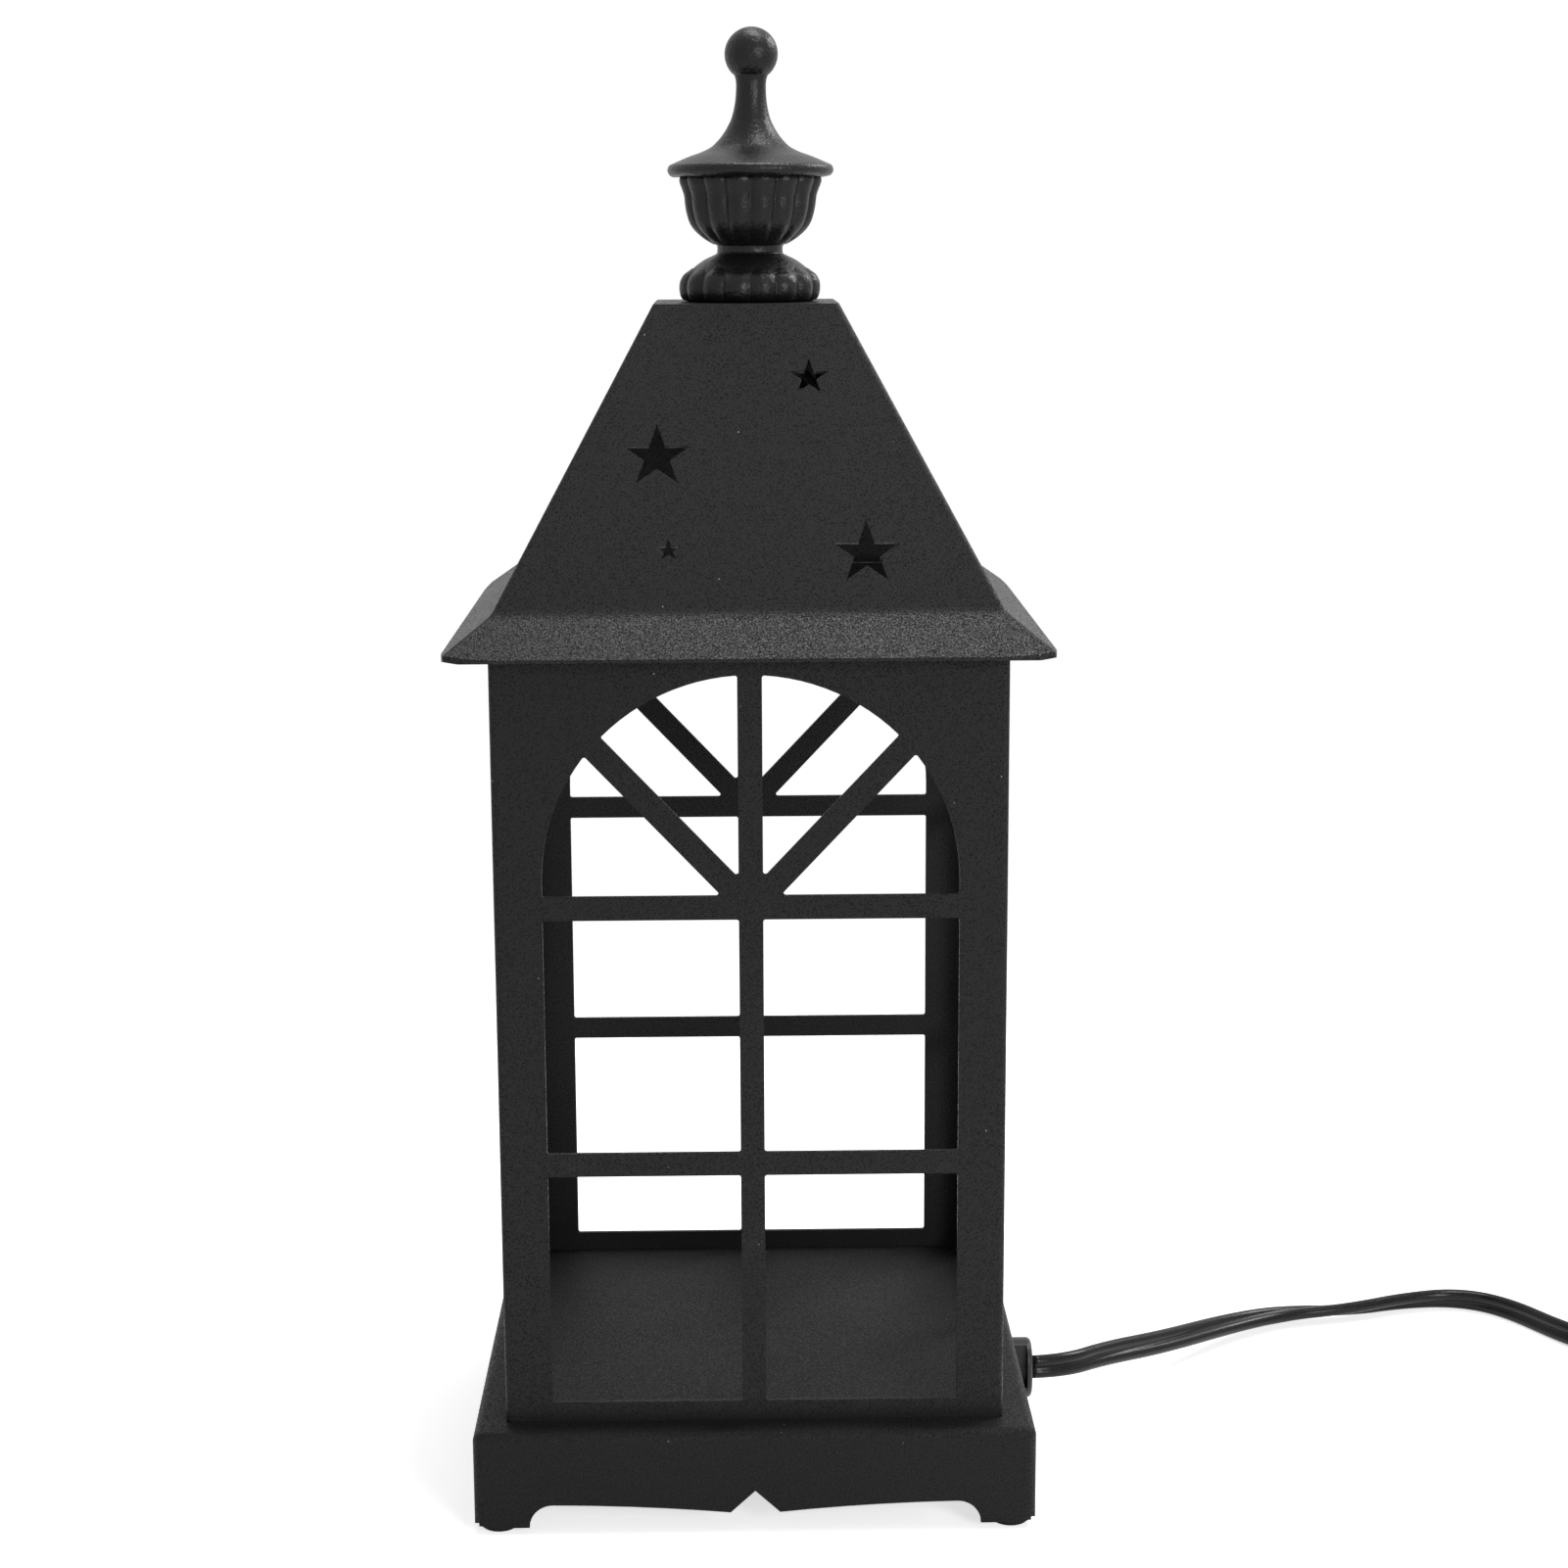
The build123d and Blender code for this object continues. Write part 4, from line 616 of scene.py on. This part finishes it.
def ball_rows():
    """The ball's rows, from where it meets the stalk to its top."""
    rows = []
    low = -math.asin(math.sqrt(1 - (BALL_NECK / BALL_RADIUS) ** 2))
    for index in range(BALL_ROWS + 1):
        angle = low + (math.pi / 2 * BALL_TOP - low) * index / BALL_ROWS
        height = BALL_CENTRE + BALL_RADIUS * math.sin(angle)
        rows.append((BALL_RADIUS * math.cos(angle) * MM, ROOF_TOP + height * MM))
    return rows


def ribs(angle):
    """0 on the middle of a rib and 1 in the sharp groove beside it. One groove faces the front."""
    turn = angle * LOBES / (2 * math.pi)
    return (1 - 2 * abs(turn - round(turn))) ** 2


def base_lobes(radius, height, angle):
    """Rounded lobes round the foot of the finial, each with an arched top edge."""
    up = (height - ROOF_TOP) / MM
    groove = ribs(angle)
    arch = LOBE_TALL - LOBE_ARCH * groove
    edge_span = (arch - LOBE_EDGE_BELOW, arch + LOBE_EDGE_ABOVE)
    inside = smooth_step(up, LOBE_FOOT_SPAN) * (1 - smooth_step(up, edge_span))
    return radius + (LOBE_OUT - LOBE_GROOVE * groove) * inside * MM, height


def cup_ribs(radius, height, angle):
    """Ribs up the cup, fading into its waist and rounded under the rim."""
    up = (height - ROOF_TOP) / MM
    depth = CUP_GROOVE * ribs(angle) * radius / (CUP_GROOVE_RADIUS * MM) * smooth_step(up, CUP_WAIST_SPAN)
    return radius - (depth + CUP_RIM_ROUND * smooth_step(up, CUP_RIM_SPAN)) * MM, height


def cap_turn(radius, height, angle):
    """The cap's rim is slightly uneven, as cast."""
    up = (height - ROOF_TOP) / MM
    wobble = sum(tall * math.sin(count * angle + start) for tall, count, start in RIM_WAVES)
    return radius, height + wobble * MM * (1 - smooth_step(up, RIM_SPAN))


def make_finial(materials):
    """Cast finial in three pieces on its rod."""
    cap_rows = curve_rows(CAP_POINTS, CAP_ROWS) + ball_rows()[1:]
    made = (
        (lathe("finial_base_cast", curve_rows(BASE_POINTS, PROFILE_ROWS), base_lobes), "finial_base"),
        (lathe("finial_cup_cast", curve_rows(CUP_POINTS, PROFILE_ROWS), cup_ribs), "finial_cup"),
        (lathe("finial_cap_cast", cap_rows, cap_turn), "finial_cap"),
    )
    for piece, node in made:
        for vertex in piece.data.vertices:
            vertex.co.x += FINIAL_SHIFT + FINIAL_LEAN * (vertex.co.z - ROOF_TOP)
        piece.data.materials.append(materials["casting"])
        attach(piece, "lantern")
        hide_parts(node)


# ---------------------------------------------------------------- studio

WORLD_FILL = 0.3
FLOOR_SIZE = 12.0
FLOOR_TONE = 0.8
FLOOR_GLOW = 0.68
# The floor turns into plain white between these distances from the lantern.
FLOOR_FADE = (0.35, 0.6)
LAMP_AIM = Vector((0, 0, 0.2))
LAMP_SIDE = 0.4
# Each lamp's name, place and power.
LAMPS = (
    ("overhead_right", (0.336, 0.0, 1.456), 7.5),
    ("overhead_back", (0.0, 0.336, 1.456), 5.8),
    ("right_back", (0.922, 0.532, 0.946), 7.3),
    ("right_front", (0.636, -1.101, 0.47), 7.3),
    ("front_top", (0.487, -0.487, 1.302), 0.6),
)


def seen_rays(tree):
    """1 for rays that come from the camera, from a gloss or through glass."""
    path = tree.nodes.new("ShaderNodeLightPath")
    first = tree.nodes.new("ShaderNodeMath")
    first.operation = "MAXIMUM"
    second = tree.nodes.new("ShaderNodeMath")
    second.operation = "MAXIMUM"
    tree.links.new(path.outputs["Is Camera Ray"], first.inputs[0])
    tree.links.new(path.outputs["Is Glossy Ray"], first.inputs[1])
    tree.links.new(first.outputs[0], second.inputs[0])
    tree.links.new(path.outputs["Is Transmission Ray"], second.inputs[1])
    return second.outputs[0]


def make_world():
    """White where it is seen, a softer grey where it lights."""
    world = bpy.data.worlds.new("studio")
    bpy.context.scene.world = world
    world.use_nodes = True
    tree = world.node_tree
    tree.nodes.clear()
    output = tree.nodes.new("ShaderNodeOutputWorld")
    shown = tree.nodes.new("ShaderNodeBackground")
    shown.inputs["Color"].default_value = (1, 1, 1, 1)
    lighting = tree.nodes.new("ShaderNodeBackground")
    lighting.inputs["Color"].default_value = (WORLD_FILL, WORLD_FILL, WORLD_FILL, 1)
    mix = tree.nodes.new("ShaderNodeMixShader")
    tree.links.new(seen_rays(tree), mix.inputs[0])
    tree.links.new(lighting.outputs[0], mix.inputs[1])
    tree.links.new(shown.outputs[0], mix.inputs[2])
    tree.links.new(mix.outputs[0], output.inputs["Surface"])


def make_floor():
    """Plain white floor that keeps the lantern's soft shadow and runs into the backdrop's white."""
    bm = bmesh.new()
    bmesh.ops.create_grid(bm, x_segments=1, y_segments=1, size=FLOOR_SIZE / 2)
    floor = finish_mesh("studio_floor", bm, False)
    material = bpy.data.materials.new("studio_floor")
    material.use_nodes = True
    tree = material.node_tree
    tree.nodes.clear()
    output = tree.nodes.new("ShaderNodeOutputMaterial")
    matt = tree.nodes.new("ShaderNodeBsdfDiffuse")
    matt.inputs["Color"].default_value = (FLOOR_TONE, FLOOR_TONE, FLOOR_TONE, 1)
    glow = tree.nodes.new("ShaderNodeEmission")
    glow.inputs["Strength"].default_value = FLOOR_GLOW
    near = tree.nodes.new("ShaderNodeAddShader")
    far = tree.nodes.new("ShaderNodeEmission")
    fade = tree.nodes.new("ShaderNodeMixShader")
    mix = tree.nodes.new("ShaderNodeMixShader")
    place = tree.nodes.new("ShaderNodeTexCoord")
    reach = tree.nodes.new("ShaderNodeVectorMath")
    reach.operation = "LENGTH"
    link(material, place.outputs["Object"], reach.inputs[0])
    link(material, matt.outputs[0], near.inputs[0])
    link(material, glow.outputs[0], near.inputs[1])
    link(material, spread(material, reach.outputs["Value"], 0.0, 1.0, *FLOOR_FADE), fade.inputs[0])
    link(material, near.outputs[0], fade.inputs[1])
    link(material, far.outputs[0], fade.inputs[2])
    link(material, seen_rays(tree), mix.inputs[0])
    link(material, matt.outputs[0], mix.inputs[1])
    link(material, fade.outputs[0], mix.inputs[2])
    link(material, mix.outputs[0], output.inputs["Surface"])
    floor.data.materials.append(material)


def area_light(name, place, power):
    """A soft square lamp aimed at the lantern."""
    data = bpy.data.lights.new(name, "AREA")
    data.shape = "RECTANGLE"
    data.size = LAMP_SIDE
    data.size_y = LAMP_SIDE
    data.energy = power
    lamp = bpy.data.objects.new(name, data)
    lamp.location = place
    lamp.rotation_euler = (LAMP_AIM - Vector(place)).to_track_quat("-Z", "Y").to_euler()
    bpy.context.scene.collection.objects.link(lamp)


def make_studio():
    """White surroundings, a floor, and five lamps above and to the right."""
    make_world()
    make_floor()
    for name, place, power in LAMPS:
        area_light(name, place, power)
    bpy.context.scene.view_settings.view_transform = "Standard"


# ---------------------------------------------------------------- build

make_camera()
MATERIALS = make_materials()
make_cord(MATERIALS)
dress_nodes(MATERIALS)
make_finial(MATERIALS)
make_studio()
